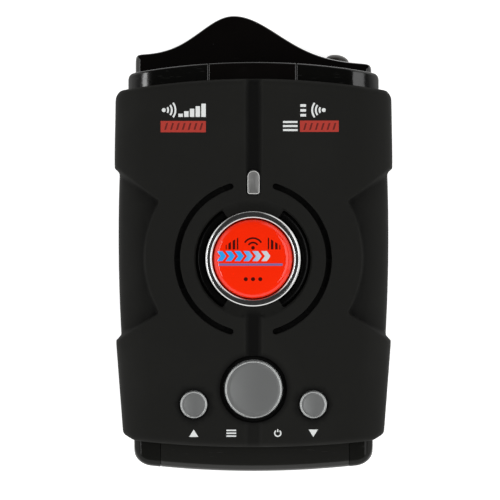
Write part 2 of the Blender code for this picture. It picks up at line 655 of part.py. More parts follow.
def make_horn(look):
    """The microwave antenna: a cast tapered horn that opens at the nose, with two lugs up to the board."""

    def section(y, half, low, high):
        return [(-half, y, low), (half, y, low), (half, y, high), (-half, y, high)]

    outside = [section(-16, 6.5, 5.6, 13.0), section(-2, 6.5, 5.6, 13.0), section(33, 17, 4.0, 15.2)]
    horn = loft("horn_antenna", outside, look["zinc"])
    inside = [section(-8, 5.3, 6.8, 11.8), section(-2, 5.3, 6.8, 11.8), section(33.5, 15.8, 5.0, 14.2)]
    cut(horn, loft("horn_throat", inside))
    for i, place in enumerate(LUG_PLACES):
        join(horn, prism(f"horn_lug_{i}", circle(1.9, 10, place), (12.0, BOARD_Z - GAP)))
    for i, place in enumerate(LUG_PLACES):
        cut(horn, prism(f"horn_pilot_{i}", circle(1.0, 8, place), (10.0, BOARD_Z + 1)))
    block("mixer_shield", (9.0, 21.0), (-30.0, -16.0), (11.4, BOARD_Z - GAP), look["steel"], edge=0.4)


BOARD_PARTS = (  # name, x range, y range, height, finish and edge of what stands on the main board
    ("processor", (-17.5, -10.5), (-27.0, -20.0), 1.0, "chip_black", 0.0),
    ("audio_amplifier", (9.0, 14.0), (-24.5, -20.5), 1.5, "chip_black", 0.0),
    ("crystal_can", (-9.0, -7.6), (-27.0, -20.0), 1.2, "steel", 0.0),
    ("power_coil", (-18.0, -12.0), (5.0, 11.0), 3.6, "chip_black", 0.6),
)


def make_boards(look):
    green, black = look["board_green"], look["chip_black"]
    board = block("main_board", (-BOARD_HALF, BOARD_HALF), BOARD_Y, (BOARD_Z, BOARD_TOP_Z), green)
    for i, place in enumerate(POST_PLACES + LUG_PLACES):
        cut(board, prism(f"board_hole_{i}", circle(1.2, 8, place), (BOARD_Z - 1, BOARD_TOP_Z + 1)))
    top = BOARD_TOP_Z + BOARD_GAP
    for name, x_range, y_range, height, kind, edge in BOARD_PARTS:
        block(name, x_range, y_range, (top, top + height), look[kind], edge)
    for i, (x, y) in enumerate(((18.2, -27.0), (18.2, -20.4))):
        turned(f"capacitor_{i + 1}", [(2.6, 0), (2.6, 6.2)], 16, look["zinc"], location=(x, y, top))
    block("board_header", (-8, 8), (-47.7, -45.3), (14.6, 18.8), black)
    block("display_board", (-21, 21), (-49.3, -48.1), (6.4, 23.2), green)
    block("display_module", (-17, 17), (-53.6, -49.6), (9.0, 21.0), black)
    block("laser_board", (-6.0, 6.0), (33.6, 34.8), (16.2, 24.8), green)
    block("laser_sensor", (-4.0, 4.0), (35.1, 41.4), (20.6, 24.6), black)
    block("eye_board", (17.0, 24.0), (36.6, 37.8), (6.2, 17.6), green)
    turn, place = eye_place()
    turned("eye_sensor", [(2.4, -6.6), (2.4, -3.4)], 14, black, location=place, turn=turn)


def make_power_jack(look):
    """The round power inlet in the right-hand side, a moulded block whose nose fills the case's hole."""
    jack = block("power_jack", (21.0, 30.6), (JACK_Y - 3.8, JACK_Y + 3.8), (5.2, 12.8), look["chip_black"])
    sideways = {"location": (0, JACK_Y, JACK_Z), "turn": (0, math.pi / 2, 0)}
    join(jack, prism("jack_nose", circle(JACK_NOSE_R, 20), (30.0, HALF_WIDTH - 0.6), **sideways))
    cut(jack, prism("jack_bore", circle(JACK_BORE_R, 14), (25.0, HALF_WIDTH + 2), **sideways))


# ================================================================================================
# Fasteners and base
# ================================================================================================


def make_screw(name, place, head_z, length, head_r, shank_r, look, upwards):
    """A pan-head screw with a cross recess, its origin under its head. Its shank runs up or down."""
    head_t = SCREW_HEAD_T * head_r / SCREW_HEAD_R
    profile = [
        (head_r * 0.75, -head_t),
        (head_r, -head_t * 0.55),
        (head_r, 0.0),
        (shank_r, 0.0),
        (shank_r, length - shank_r),
        (shank_r * 0.3, length),
    ]
    turn = None if upwards else (math.pi, 0, 0)
    screw = turned(name, profile, 12, look["steel"], location=(*place, head_z), turn=turn)
    depth = -head_t * 0.5
    for i, (half_x, half_y) in enumerate(((head_r * 0.6, 0.25), (0.25, head_r * 0.6))):
        recess = prism(
            f"{name}_recess_{i}",
            rectangle((-half_x, half_x), (-half_y, half_y)),
            (-head_t - 1, depth),
            location=(*place, head_z),
            turn=turn,
        )
        cut(screw, recess)


def make_fasteners(look):
    corners = ("front_left", "front_right", "rear_left", "rear_right")
    for corner, place in zip(corners, SCREW_PLACES):
        seat = SCREW_SEAT_Z - 0.2
        make_screw(f"case_screw_{corner}", place, seat, SCREW_LENGTH, SCREW_HEAD_R, SCREW_R, look, True)
    seat = BOARD_TOP_Z + BOARD_GAP
    for side, post, lug in zip(("left", "right"), POST_PLACES, LUG_PLACES):
        make_screw(f"board_screw_{side}", post, seat, 8.0, 1.7, 0.85, look, False)
        make_screw(f"horn_screw_{side}", lug, seat, 5.0, 1.5, 0.75, look, False)


def make_base(look):
    for label, y_range in (("front", FRONT_PAD_Y), ("rear", REAR_PAD_Y)):
        block(f"{label}_grip_pad", (-PAD_HALF, PAD_HALF), y_range, (0, PAD_T), look["rubber"], edge=0.25)
    block("rating_label", (-PAD_HALF, PAD_HALF), LABEL_Y, (BASE_Z - 0.1, BASE_Z + 0.2), look["label"])


def main():
    for obj in list(bpy.data.objects):
        bpy.data.objects.remove(obj)
    look = make_finishes()
    make_upper_case(look)
    make_lower_case(look)
    make_nose(look)
    make_rear(look)
    make_badge(look)
    make_light(look)
    make_key("menu", MENU, MENU_R, 40, look)
    make_key("up", (-SIDE_KEY_X, SIDE_KEY_Y), SIDE_KEY_R, 28, look)
    make_key("down", (SIDE_KEY_X, SIDE_KEY_Y), SIDE_KEY_R, 28, look)
    make_speaker(look)
    make_horn(look)
    make_boards(look)
    make_power_jack(look)
    make_fasteners(look)
    make_base(look)


main()
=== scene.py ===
"""The looks of a dashboard radar detector: case mouldings, polished nose and rear frame, badge and keys.

Lengths in the shape functions are millimetres, in the model's own frame: X across, +Y towards the
windscreen, Z up. Each new surface is worked out as whole numpy arrays, and put() turns it into a mesh.
"""

import math

import bpy
import numpy as np
from mathutils import Matrix, Vector, geometry


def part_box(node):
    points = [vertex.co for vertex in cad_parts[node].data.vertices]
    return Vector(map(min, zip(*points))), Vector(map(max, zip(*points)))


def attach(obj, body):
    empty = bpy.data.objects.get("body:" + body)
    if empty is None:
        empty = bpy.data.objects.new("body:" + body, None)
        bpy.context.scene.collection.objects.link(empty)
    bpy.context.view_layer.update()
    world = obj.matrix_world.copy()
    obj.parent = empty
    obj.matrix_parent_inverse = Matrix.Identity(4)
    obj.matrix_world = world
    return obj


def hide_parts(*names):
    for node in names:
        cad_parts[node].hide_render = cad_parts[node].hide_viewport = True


bl_info = {
    "name": "Radar detector looks",
    "version": (1, 0, 0),
    "blender": (4, 5, 0),
    "location": "3D View > Sidebar > Detector",
    "description": "Builds a dashboard radar detector's mouldings, lenses, keys and studio round its frame",
    "category": "Object",
}

MM = 0.001
CASE = "case"

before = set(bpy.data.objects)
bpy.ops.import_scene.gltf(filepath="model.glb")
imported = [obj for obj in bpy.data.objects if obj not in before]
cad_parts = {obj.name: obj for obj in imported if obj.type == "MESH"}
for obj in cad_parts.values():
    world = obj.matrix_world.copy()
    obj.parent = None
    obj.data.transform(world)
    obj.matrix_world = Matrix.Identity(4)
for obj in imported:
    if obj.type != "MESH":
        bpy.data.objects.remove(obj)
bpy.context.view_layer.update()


def low_high(node):
    """Lowest and highest corner of a frame node, in millimetres."""
    low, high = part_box(node)
    return np.array(low) / MM, np.array(high) / MM


def half_middle(node):
    """Half size and middle of a frame node."""
    low, high = low_high(node)
    return (high - low) / 2, (low + high) / 2


def middle(node):
    """Middle of a frame node."""
    return half_middle(node)[1]


def size(name):
    """One of the sizes group's lengths, in millimetres."""
    return getattr(bpy.context.scene.detector_sizes, name) / MM


# levels and places read from the frame
TOP_Z = low_high("upper_case")[1][2]
SEAM_GAP = 0.3
SEAM_Z = low_high("upper_case")[0][2] - SEAM_GAP / 2
BASE_Z = low_high("lower_case")[0][2]
FACE_WALL = 2.0  # thickness of the flat faces
CEILING_Z = TOP_Z - FACE_WALL
HUB = middle("badge_ring")[:2]
MENU, UP, DOWN = (middle(f"{key}_button") for key in ("menu", "up", "down"))
KEY_FLANGE = 1.1
LIGHT_GROW = 0.9
NOSE_MOUTH_HALF = low_high("front_bezel")[1][0] + 0.3
NOSE_MOUTH_Z = low_high("front_bezel")[1][2] + 0.3
REAR_MOUTH_HALF = low_high("rear_bezel")[1][0] + 0.4
REAR_MOUTH_Z = low_high("rear_bezel")[1][2] + 0.3

# the case from above
SIDE_CORNERS = ((29.6, -49.1), (32.4, -47.3), (34.1, -25.0), (34.5, 21.5), (34.25, 36.2), (33.1, 37.8))
FRONT_EDGE_Y, FRONT_EDGE_BOW = 40.7, 0.00265
REAR_EDGE_Y, REAR_EDGE_BOW = -50.6, 0.00186
FRONT_CHAMFER, REAR_CHAMFER = 1.39, 0.64  # slopes of the four cut corners
EDGE_SPACING = 0.42
CORNER_SOFTNESS = 0.55
SIDE_ROUND, END_ROUND = (8.8, 4.6), (1.3, 1.3)  # width and height of the top face's edges
BASE_SIDE_ROUND, BASE_END_ROUND = (5.5, 5.0), (1.6, 1.6)

# grips
GRIP_TIPS_Y = (10.4, -17.4)
GRIP_WAIST_X = 26.9
GRIP_BOW = 3.7
GRIP_SLOPES = (0.74, 0.62)
GRIP_REACH = 42.0
GRIP_SPACING = 0.3

# hub
DISH_R = 14.35
INNER_SLOT = (12.95, 1.3, 58.0, 0.45)  # mid radius, half width, half angle, end radius
OUTER_SLOT = (18.8, 0.72, 75.0, 0.7)
GROOVE_HALF = 2.0
GROOVE_RUNS = ((16.5, 41.0), (-28.0, -17.5), (-50.4, -42.5))  # rear and front of its three stretches
KEY_WELL_R = 8.3
HOLE_LIP = 0.26  # radius of the edge of every hole
MENU_HOLE_R, SMALL_HOLE_R, JACK_HOLE_R = 7.35, 3.6, 3.5

# insides and base
UPPER_SIDE_WALL, LOWER_SIDE_WALL = 2.0, 2.9
PAD_POCKET, LABEL_POCKET = 0.6, 0.5
SCREW_WELL_R, SCREW_WELL_DEPTH = 2.5, 3.5

ACRYLIC_IOR = 1.49


# ---- Curves in the plane ----


def unit(vectors):
    """Vectors over their lengths."""
    return vectors / np.maximum(np.linalg.norm(vectors, axis=-1, keepdims=True), 1e-12)


def smoothstep(t):
    """0 below 0, 1 above 1, and 3t^2 - 2t^3 between."""
    t = np.clip(t, 0, 1)
    return t * t * (3 - 2 * t)


def resampled(points, spacing, closed=True):
    """The same polyline walked in equal steps of its length."""
    loop = np.vstack([points, points[:1]]) if closed else points
    run = np.concatenate([[0], np.cumsum(np.linalg.norm(np.diff(loop, axis=0), axis=1))])
    count = max(8, round(run[-1] / spacing))
    at = np.linspace(0, run[-1], count, endpoint=not closed)
    return np.stack([np.interp(at, run, loop[:, k]) for k in range(loop.shape[1])], 1)


def rounded(points, spacing, softness):
    """Corners rounded by a bell-shaped blur along the curve, done on its Fourier series."""
    waves = np.fft.fft(points[:, 0] + 1j * points[:, 1])
    cycles = np.fft.fftfreq(len(points), spacing)
    soft = np.fft.ifft(waves * np.exp(-2 * (math.pi * softness * cycles) ** 2))
    return np.stack([soft.real, soft.imag], 1)


class Curve:
    """Points along a plane curve and its normals, which lie to the right of the way it is walked."""

    def __init__(self, points, closed=True):
        self.points = points
        if closed:
            ahead = np.roll(points, -1, 0) - np.roll(points, 1, 0)
        else:
            ahead = np.gradient(points, axis=0)
        tangents = unit(ahead)
        self.normals = np.stack([tangents[:, 1], -tangents[:, 0]], 1)

    def offset(self, by):
        """The points moved along their normals, all by one length or each by its own."""
        return self.points + self.normals * np.reshape(by, (-1, 1))

    def distance(self, where):
        """Distance to the nearest sample, less than 0 on the side away from the normals."""
        found, batch = np.empty(len(where)), 4000
        for start in range(0, len(where), batch):
            part = where[start : start + batch]
            gaps = part[:, None, :] - self.points[None]
            squared = np.einsum("ijk,ijk->ij", gaps, gaps)
            nearest = squared.argmin(1)
            rows = np.arange(len(part))
            along = np.einsum("ij,ij->i", gaps[rows, nearest], self.normals[nearest])
            apart = np.sqrt(squared[rows, nearest])
            found[start : start + batch] = np.where(along < 0, -1, 1) * apart
        return found


def circle(centre, radius):
    """Points round a circle, about 0.4 apart and at least 24 of them."""
    turn = np.linspace(0, 2 * math.pi, max(24, round(2 * math.pi * radius / 0.4)), endpoint=False)
    return np.stack([centre[0] + radius * np.cos(turn), centre[1] + radius * np.sin(turn)], 1)


def rounded_box(half_x, half_y, radius, corner_points=7):
    """A rectangle with round corners, walked the way angles grow. radius is one value, or one a quadrant."""
    radii = np.broadcast_to(radius, 4)
    found = []
    for quarter, r in enumerate(radii):
        turn = np.radians(90 * quarter + np.linspace(0, 90, corner_points))
        sign = np.array([[1, 1], [-1, 1], [-1, -1], [1, -1]])[quarter]
        corner = sign * (np.array([half_x, half_y]) - r)
        found.append(corner + r * np.stack([np.cos(turn), np.sin(turn)], 1))
    return np.vstack(found)


def arc_slot(centre, slot, middle_deg):
    """A round-cornered box of (along, across) bent round the centre at the slot's middle radius."""
    radius, half, half_deg, corner = slot
    box = resampled(rounded_box(radius * math.radians(half_deg), half, corner), 0.4)
    turn = math.radians(middle_deg) - box[:, 0] / radius
    reach = radius + box[:, 1]
    return np.stack([centre[0] + reach * np.cos(turn), centre[1] + reach * np.sin(turn)], 1)


def walked_ccw(points):
    """The loop walked the way angles grow, told from the sign of the area it encloses."""
    ahead = np.roll(points, -1, 0)
    area = np.sum(points[:, 0] * ahead[:, 1] - points[:, 1] * ahead[:, 0])
    return points if area > 0 else points[::-1]


def case_curve():
    """The case's outline: two bowed ends joined by straight stretches, with its corners rounded."""
    sides = np.array(SIDE_CORNERS)
    rear_x = np.linspace(0, sides[0, 0], 20)
    front_x = np.linspace(sides[-1, 0], 0, 20)
    rear = np.stack([rear_x, REAR_EDGE_Y + REAR_EDGE_BOW * rear_x**2], 1)
    front = np.stack([front_x, FRONT_EDGE_Y - FRONT_EDGE_BOW * front_x**2], 1)
    right = np.vstack([rear, sides[1:-1], front])
    whole = np.vstack([right, (right * [-1, 1])[-2:0:-1]])
    return Curve(rounded(resampled(whole, EDGE_SPACING), EDGE_SPACING, CORNER_SOFTNESS))


def side_x(y):
    """Half width of the case between its corners, carried on straight past them."""
    rows = np.array([(31.9, -53.0), *SIDE_CORNERS[1:5], (33.9, 44.0)])
    return np.interp(y, rows[:, 1], rows[:, 0])


def end_insets(x, y):
    """How far a point lies inside the front edge and inside the rear one, chamfered corners included."""
    x = np.abs(x)
    (rear_x, rear_y), *_, (front_x, front_y) = SIDE_CORNERS
    front = np.minimum(FRONT_EDGE_Y - FRONT_EDGE_BOW * x**2, front_y - FRONT_CHAMFER * (x - front_x))
    rear = np.maximum(REAR_EDGE_Y + REAR_EDGE_BOW * x**2, rear_y + REAR_CHAMFER * (x - rear_x))
    return front - y, y - rear


def grip_curve():
    """Edge of the right-hand grip: in along its front, down its bowed inner side, out along its rear."""
    front_y, rear_y = GRIP_TIPS_Y
    y = np.linspace(front_y, rear_y, 60)
    mid, half = (front_y + rear_y) / 2, (front_y - rear_y) / 2
    inner_x = GRIP_WAIST_X - GRIP_BOW * ((y - mid) / half) ** 2
    out_x = np.linspace(GRIP_REACH, inner_x[0], 40)
    front = np.stack([out_x, front_y + GRIP_SLOPES[0] * (out_x - inner_x[0])], 1)
    rear = np.stack([out_x[::-1], rear_y - GRIP_SLOPES[1] * (out_x[::-1] - inner_x[-1])], 1)
    line = np.vstack([front, np.stack([inner_x, y], 1), rear])
    line = resampled(line, GRIP_SPACING, closed=False)
    there_and_back = np.vstack([line, line[::-1]])
    return Curve(rounded(there_and_back, GRIP_SPACING, CORNER_SOFTNESS)[: len(line)], closed=False)


CASE_CURVE = case_curve()
GRIP = grip_curve()


# ---- The top face as a height over the plane ----


def away(x, y, place):
    """Distance in plan from a place."""
    return np.hypot(x - place[0], y - place[1])


def quarter_drop(inset, width, height):
    """Fall of a quarter ellipse towards an edge: nothing at width in from it, height at the edge itself."""
    t = np.clip(1 - inset / width, 0, 1)
    return height * (1 - np.sqrt(1 - t * t))


def grip_step(x):
    """Width of the step at a grip's edge: narrow at the inner side and twice that at the notches."""
    return 0.75 + 0.75 * smoothstep((x - 27) / 5)


def grip_share(x, y):
    """1 in a grip and 0 outside it, over the width of its step."""
    x = np.abs(x)
    inner = -GRIP.distance(np.stack([x, y], 1))
    return smoothstep(inner / grip_step(x) + 0.3)


def grip_inset(y):
    """How far a grip cuts into the case's side: least at its middle."""
    return 0.8 + 0.5 * np.clip(np.abs(y + 2) / 21, 0, 1) ** 2


def grip_sink(x, y):
    """How far a grip lies below the face: most at its two tips."""
    x = np.abs(x)
    tip_x = GRIP_WAIST_X - GRIP_BOW
    near = [np.hypot(x - tip_x - 1.2, (y - tip) * 0.8) for tip in GRIP_TIPS_Y]
    return 0.45 + 0.75 * np.exp(-np.minimum(*near) / 2.6) + 0.25 * np.exp(-np.abs(x - 26.5) / 1.5)


def groove_share(x, y):
    """1 in the centre groove and 0 outside it: front edge to light, badge to key, and key to rear edge."""
    across = smoothstep((GROOVE_HALF + 0.3 - np.abs(x)) / 1.1)
    front = smoothstep((y - 16.6) / 1.2)
    centre = smoothstep((HUB[1] - DISH_R + 2.0 - y) / 1.2) * smoothstep((y - MENU[1] - 6) / 1.2)
    rear = 0.5 * smoothstep((MENU[1] - 6.5 - y) / 1.0)
    return across * np.maximum(front, np.maximum(centre, rear))


def top_height(x, y):
    """Height of the top face: a flat middle, less the shoulders, grips, groove, dish and key well."""
    share = grip_share(x, y)
    side = side_x(y) - np.abs(x) - share * grip_inset(y)
    front, rear = end_insets(x, y)
    dish = size("dish_depth") * smoothstep((DISH_R + 0.45 - away(x, y, HUB)) / 0.6)
    sunk = np.maximum(size("groove_depth") * groove_share(x, y), dish)
    well = size("well_depth") * smoothstep((KEY_WELL_R - away(x, y, MENU)) / 0.2)
    drop = quarter_drop(side, *SIDE_ROUND)
    drop = drop + quarter_drop(front, *END_ROUND) + quarter_drop(rear, *END_ROUND)
    return TOP_Z - drop - share * grip_sink(x, y) - np.maximum(sunk, well)


def top_shadow(x, y):
    """Painted shade on the top face, 0 on the open face and towards 1 where it lies deep: groove, creases of
    the grips, wells of the keys.
    """
    inner = -GRIP.distance(np.stack([np.abs(x), y], 1))
    tips = [np.hypot(np.abs(x) - 24.5, (y - tip) * 0.8) for tip in GRIP_TIPS_Y]
    crease = np.exp(-np.maximum(inner, 0) / 3.6) * (0.42 + 0.58 * np.exp(-np.minimum(*tips) / 6.0))
    crease = crease * smoothstep(inner / 0.5)
    well = smoothstep((KEY_WELL_R + 1.3 - away(x, y, MENU)) / 1.6)
    pair = smoothstep((5.0 - np.minimum(away(x, y, UP), away(x, y, DOWN))) / 1.4)
    groove = groove_share(x, y) * (1 - 0.35 * smoothstep((MENU[1] - y) / 4))
    return np.maximum.reduce([groove, crease, well, pair])


# ---- Meshes ----


def mesh_of(name, points, faces):
    """A mesh in metres from points in millimetres and a list of face arrays."""
    mesh = bpy.data.meshes.new(name)
    mesh.from_pydata((np.asarray(points) * MM).tolist(), [], [f for group in faces for f in group.tolist()])
    return mesh


def linked(name, data):
    """A new object in the scene."""
    obj = bpy.data.objects.new(name, data)
    bpy.context.scene.collection.objects.link(obj)
    return obj


def put(name, points, faces, look, slot, body=CASE, replaces=(), shadow=None):
    """A shown piece with a finish, riding on a body; its slot argument is not used. shadow is how deep in a
    hollow each point lies, from 0 to 1. Edges that turn by more than 38 degrees stay sharp."""
    mesh = mesh_of(name, points, faces)
    mesh.validate()
    mesh.shade_smooth()
    mesh.set_sharp_from_angle(angle=math.radians(38))
    mesh.materials.append(finish(look))
    if shadow is not None:
        mesh.attributes.new("shadow", "FLOAT", "POINT").data.foreach_set("value", shadow)
    obj = linked(name, mesh)
    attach(obj, body)
    if replaces:
        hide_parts(*replaces)
    return obj


def band_faces(rows, columns, wrap_rows=False):
    """Quads between rings of points that are stored one ring after another."""
    ring = np.arange(rows if wrap_rows else rows - 1)
    r, c = np.meshgrid(ring, np.arange(columns), indexing="ij")
    next_r, next_c = (r + 1) % rows * columns, (c + 1) % columns
    quads = np.stack([r * columns + c, r * columns + next_c, next_r + next_c, next_r + c], -1)
    return quads.reshape(-1, 4)


def outward(points, faces):
    """The same faces, all turned round if the volume that they enclose comes out negative."""
    volume = 0.0
    for group in faces:
        corners = points[group]
        spokes = corners - corners[:, :1]
        fans = np.cross(spokes[:, 1:-1], spokes[:, 2:]).sum(1)
        volume += np.einsum("ij,ij->", fans, corners[:, 0])
    return faces if volume > 0 else [group[:, ::-1] for group in faces]


def closed_rings(rings, wrap_rows=False):
    """Points and faces of a skin through rings (rows, columns, 3), its ends capped flat or joined."""
    rings = np.asarray(rings)
    rows, columns = rings.shape[:2]
    faces = [band_faces(rows, columns, wrap_rows)]
    if not wrap_rows:
        faces += [np.arange(columns)[None, ::-1], np.arange(columns)[None] + (rows - 1) * columns]
    points = rings.reshape(-1, 3)
    return points, outward(points, faces)


def rings_piece(name, rings, look, slot, wrap_rows=False, **put_as):
    """A piece whose skin goes through rings."""
    return put(name, *closed_rings(rings, wrap_rows), look, slot, **put_as)


def at_height(outline, z):
    """A plane outline as points at one height."""
    return np.column_stack([outline, np.full(len(outline), z)])


def round_edge(radius, z, sign, count=7):
    """(inset, height) pairs of a quarter round between a wall and a flat end at height z, wall first."""
    turn = np.linspace(0, math.pi / 2, count)
    return [(radius * (1 - math.cos(a)), z - sign * radius * (1 - math.sin(a))) for a in turn]


def turned(name, profile, count, centre, look, slot, closed=False, **put_as):
    """A surface of revolution about a vertical line through centre, from (radius, height) pairs."""
    profile = np.asarray(profile, float)
    turn = np.linspace(0, 2 * math.pi, count, endpoint=False)
    x = centre[0] + profile[:, :1] * np.cos(turn)
    y = centre[1] + profile[:, :1] * np.sin(turn)
    z = np.repeat(profile[:, 1:], count, 1)
    return rings_piece(name, np.stack([x, y, z], -1), look, slot, wrap_rows=closed, **put_as)


def planar_mesh(rim, holes, features, spacing):
    """Triangles over the plane inside rim and outside the holes. Points lie on rim and holes, on the feature
    lines and on a staggered grid between them. Returns points, triangles, and each loop's indices."""
    low, high = rim.points.min(0), rim.points.max(0)
    xs = np.arange(low[0], high[0], spacing)
    ys = np.arange(low[1], high[1], spacing)
    grid = np.stack(np.meshgrid(xs, ys), -1)
    grid[::2, :, 0] += spacing / 2
    grid = grid.reshape(-1, 2)
    lines = np.vstack(features)
    within = rim.distance(lines) < -0.2
    clear = np.min([hole.distance(lines) for hole in holes], axis=0) > 0.04 if holes else True
    lines = lines[within & clear]
    fixed = Curve(np.vstack([rim.points, lines, *[hole.points for hole in holes]]))
    roomy = np.abs(fixed.distance(grid)) > 0.55 * spacing
    grid = grid[roomy & (rim.distance(grid) < 0)]
    if holes:
        grid = grid[np.min([hole.distance(grid) for hole in holes], axis=0) > 0]
    loops = [rim.points, *[hole.points for hole in holes]]
    edges, count = [], 0
    for loop in loops:
        index = np.arange(len(loop)) + count
        edges += np.stack([index, np.roll(index, -1)], 1).tolist()
        count += len(loop)
    points = np.vstack([*loops, lines, grid])
    found = geometry.delaunay_2d_cdt([Vector(p) for p in points], edges, [], 0, 1e-7, True)
    new_points, triangles, origins = np.array([p[:] for p in found[0]]), np.array(found[2]), found[3]
    new_index = np.repeat(np.arange(len(origins)), [len(olds) for olds in origins])
    place = np.full(len(points), -1)
    place[np.concatenate([list(olds) for olds in origins])] = new_index
    starts = np.cumsum([0] + [len(loop) for loop in loops])
    rims = [place[a:b] for a, b in zip(starts[:-1], starts[1:])]
    keep = np.full(len(triangles), True)
    for number, loop in enumerate(rims):
        step = np.full(len(new_points), -1)
        step[loop] = np.arange(len(loop))
        a, b, c = step[triangles].T
        in_order = (a < b).astype(int) + (b < c) + (c < a) == 2  # so the triangle lies inside this loop
        own = (a >= 0) & (b >= 0) & (c >= 0)
        keep &= ~own | (in_order if number == 0 else ~in_order)
    return new_points, triangles[keep], rims


def shell(name, sign, drop, shadow, holes, features, rounds, rim_insets, rows, edge_z, wall, replaces):
    """A case half. Its face is a height over the plane, its side rings continue that face's rounding down to
    the edge, and its inside is the same triangles again, moved in by the wall. sign is 1 for a face that
    looks up. rows are (inset, rise) pairs from the edge inwards, and edge_z is each column's edge."""
    base, normals = CASE_CURVE.points, CASE_CURVE.normals
    weights = normals**2
    start = base - normals * rim_insets
    share = grip_share(start[:, 0], start[:, 1]) * grip_inset(start[:, 1]) * np.abs(normals[:, 0])
    pinch = np.stack([-np.sign(base[:, 0]) * share, np.zeros(len(base))], 1)
    rim = Curve(start + pinch)
    plane, triangles, loops = planar_mesh(rim, holes, features(rim), size("mesh_spacing"))
    count = len(plane)
    lip = np.zeros(count)
    for hole in holes:
        away_from = hole.distance(plane)
        lip = np.maximum(lip, quarter_drop(away_from, HOLE_LIP, HOLE_LIP) * (away_from < HOLE_LIP))
    level = TOP_Z if sign > 0 else BASE_Z
    outer_z = level - sign * (drop(plane[:, 0], plane[:, 1]) + lip)
    outside = np.column_stack([plane, outer_z])

    squeeze = smoothstep(1 + rim.distance(plane) / 5.5)
    nearest = ((plane[:, None] - base[None, ::4]) ** 2).sum(2).argmin(1) * 4
    inner_plane = plane - normals[nearest] * (wall * squeeze)[:, None]
    inner_drop = drop(*inner_plane.T) if sign > 0 else drop(*plane.T)
    inner_z = level - sign * np.maximum(FACE_WALL, inner_drop + 1.2)
    inner = np.column_stack([inner_plane, inner_z])

    angles = [math.asin(1 - inset / width) for inset, (width, _) in zip(rim_insets, rounds)]
    # side rings: on round the ellipses to the upright, straight to the edge, and in along the rows
    side_rows = []
    for u in (0.3, 0.6, 0.85, 1.0):
        turned_to = [a + u * (math.pi / 2 - a) for a in angles]
        insets = [width * (1 - math.sin(a)) for a, (width, _) in zip(turned_to, rounds)]
        falls = [
            height * (math.cos(first) - math.cos(a))
            for first, a, (_, height) in zip(angles, turned_to, rounds)
        ]
        z = outer_z[loops[0]] - sign * (weights @ np.array(falls))
        side_rows.append(np.column_stack([base - normals * insets + pinch, z]))
    last = side_rows[-1]
    for u in (0.12, 0.3, 0.6, 0.9, 1.0):
        side_rows.append(np.column_stack([last[:, :2], last[:, 2] + u * (edge_z - last[:, 2])]))
    closed = np.abs(edge_z - SEAM_Z) < 1
    for inset, rise in rows:
        z = edge_z + np.where(closed, rise, 0)
        side_rows.append(np.column_stack([base - normals * inset + pinch, z]))

    points = np.vstack([outside, inner, *side_rows])
    columns = len(base)
    index = [loops[0]]
    index += [2 * count + k * columns + np.arange(columns) for k in range(len(side_rows))]
    index.append(loops[0] + count)
    index = np.array(index)
    after = np.roll(index, -1, 1)
    walls = [np.stack([index[:-1], index[1:], after[1:], after[:-1]], -1).reshape(-1, 4)]
    for loop in loops[1:]:
        ahead = np.roll(loop, -1)
        walls.append(np.stack([loop, ahead, ahead + count, loop + count], 1))
    faces = [triangles, triangles[:, ::-1] + count, *walls]
    if sign < 0:
        faces = [group[:, ::-1] for group in faces]
    # painted shade per point: the face's points get the shadow share, which darkens soft_black's base colour
    depth = np.zeros(len(points))
    depth[:count] = shadow(*plane.T)
    return put(name, points, faces, "soft_black", "soft_black", replaces=replaces, shadow=depth)


def mouth_columns(half, front):
    """Which columns of the case's outline lie in the opening at its front or rear."""
    x, y = CASE_CURVE.points.T
    return (np.abs(x) < half) & (y > 30 if front else y < -40)


def grip_lines():
    """Lines along each grip's edge, set apart by its step's width."""
    width = grip_step(GRIP.points[:, 0])
    lines = [GRIP.offset(-k * width) for k in (-0.55, -0.3, -0.1, 0.1, 0.3, 0.5, 0.75, 1.1, 1.6)]
    right = np.vstack(lines)
    return [right, right * [-1, 1]]


def light_curve(grow):
    """The light's outline: a box with a half-round front end and small rear corners, grown all round."""
    half, centre = half_middle("light_pipe")
    half_x, half_y, _ = half - LIGHT_GROW + grow
    radii = (half_x - 0.01, half_x - 0.01, 0.5 + grow, 0.5 + grow)
    return Curve(resampled(rounded_box(half_x, half_y, radii) + centre[:2], 0.3))


def upper_holes():
    """Edges of the four sound slots, the three key holes and the light's hole."""
    slots = [arc_slot(HUB, slot, side) for slot in (INNER_SLOT, OUTER_SLOT) for side in (0, 180)]
    keys = [circle(key, r) for key, r in ((MENU, MENU_HOLE_R), (UP, SMALL_HOLE_R), (DOWN, SMALL_HOLE_R))]
    return [*[Curve(walked_ccw(slot)) for slot in slots], *[Curve(key) for key in keys], light_curve(0.3)]


def edge_lines(rim):
    """Lines inside the rim and along the grips' edges, as both case halves have."""
    return [*[rim.offset(-d) for d in (0.35, 0.8, 1.4, 2.2)], *grip_lines()]


def upper_features(rim):
    """Lines where the top face bends: round its holes, dish and key well, and along its grooves."""
    lines = edge_lines(rim)
    lines += [hole.offset(d) for hole in upper_holes() for d in (0.06, 0.15, HOLE_LIP, 0.45)]
    lines += [circle(HUB, r) for r in (DISH_R - 2.6, DISH_R + 0.3, DISH_R + 0.5, DISH_R + 0.75)]
    lines += [circle(MENU, KEY_WELL_R + d) for d in (-0.2, -0.1, 0.0, 0.15, 0.45, 1.3)]
    across = np.array([0.5, 0.95, 1.2, 1.45, 1.7, 1.95, 2.2, 2.6])
    across = np.concatenate([-across[::-1], across])
    for run in GROOVE_RUNS:
        along = np.arange(*run, 0.6)
        lines.append(np.stack(np.meshgrid(across, along), -1).reshape(-1, 2))
    return lines


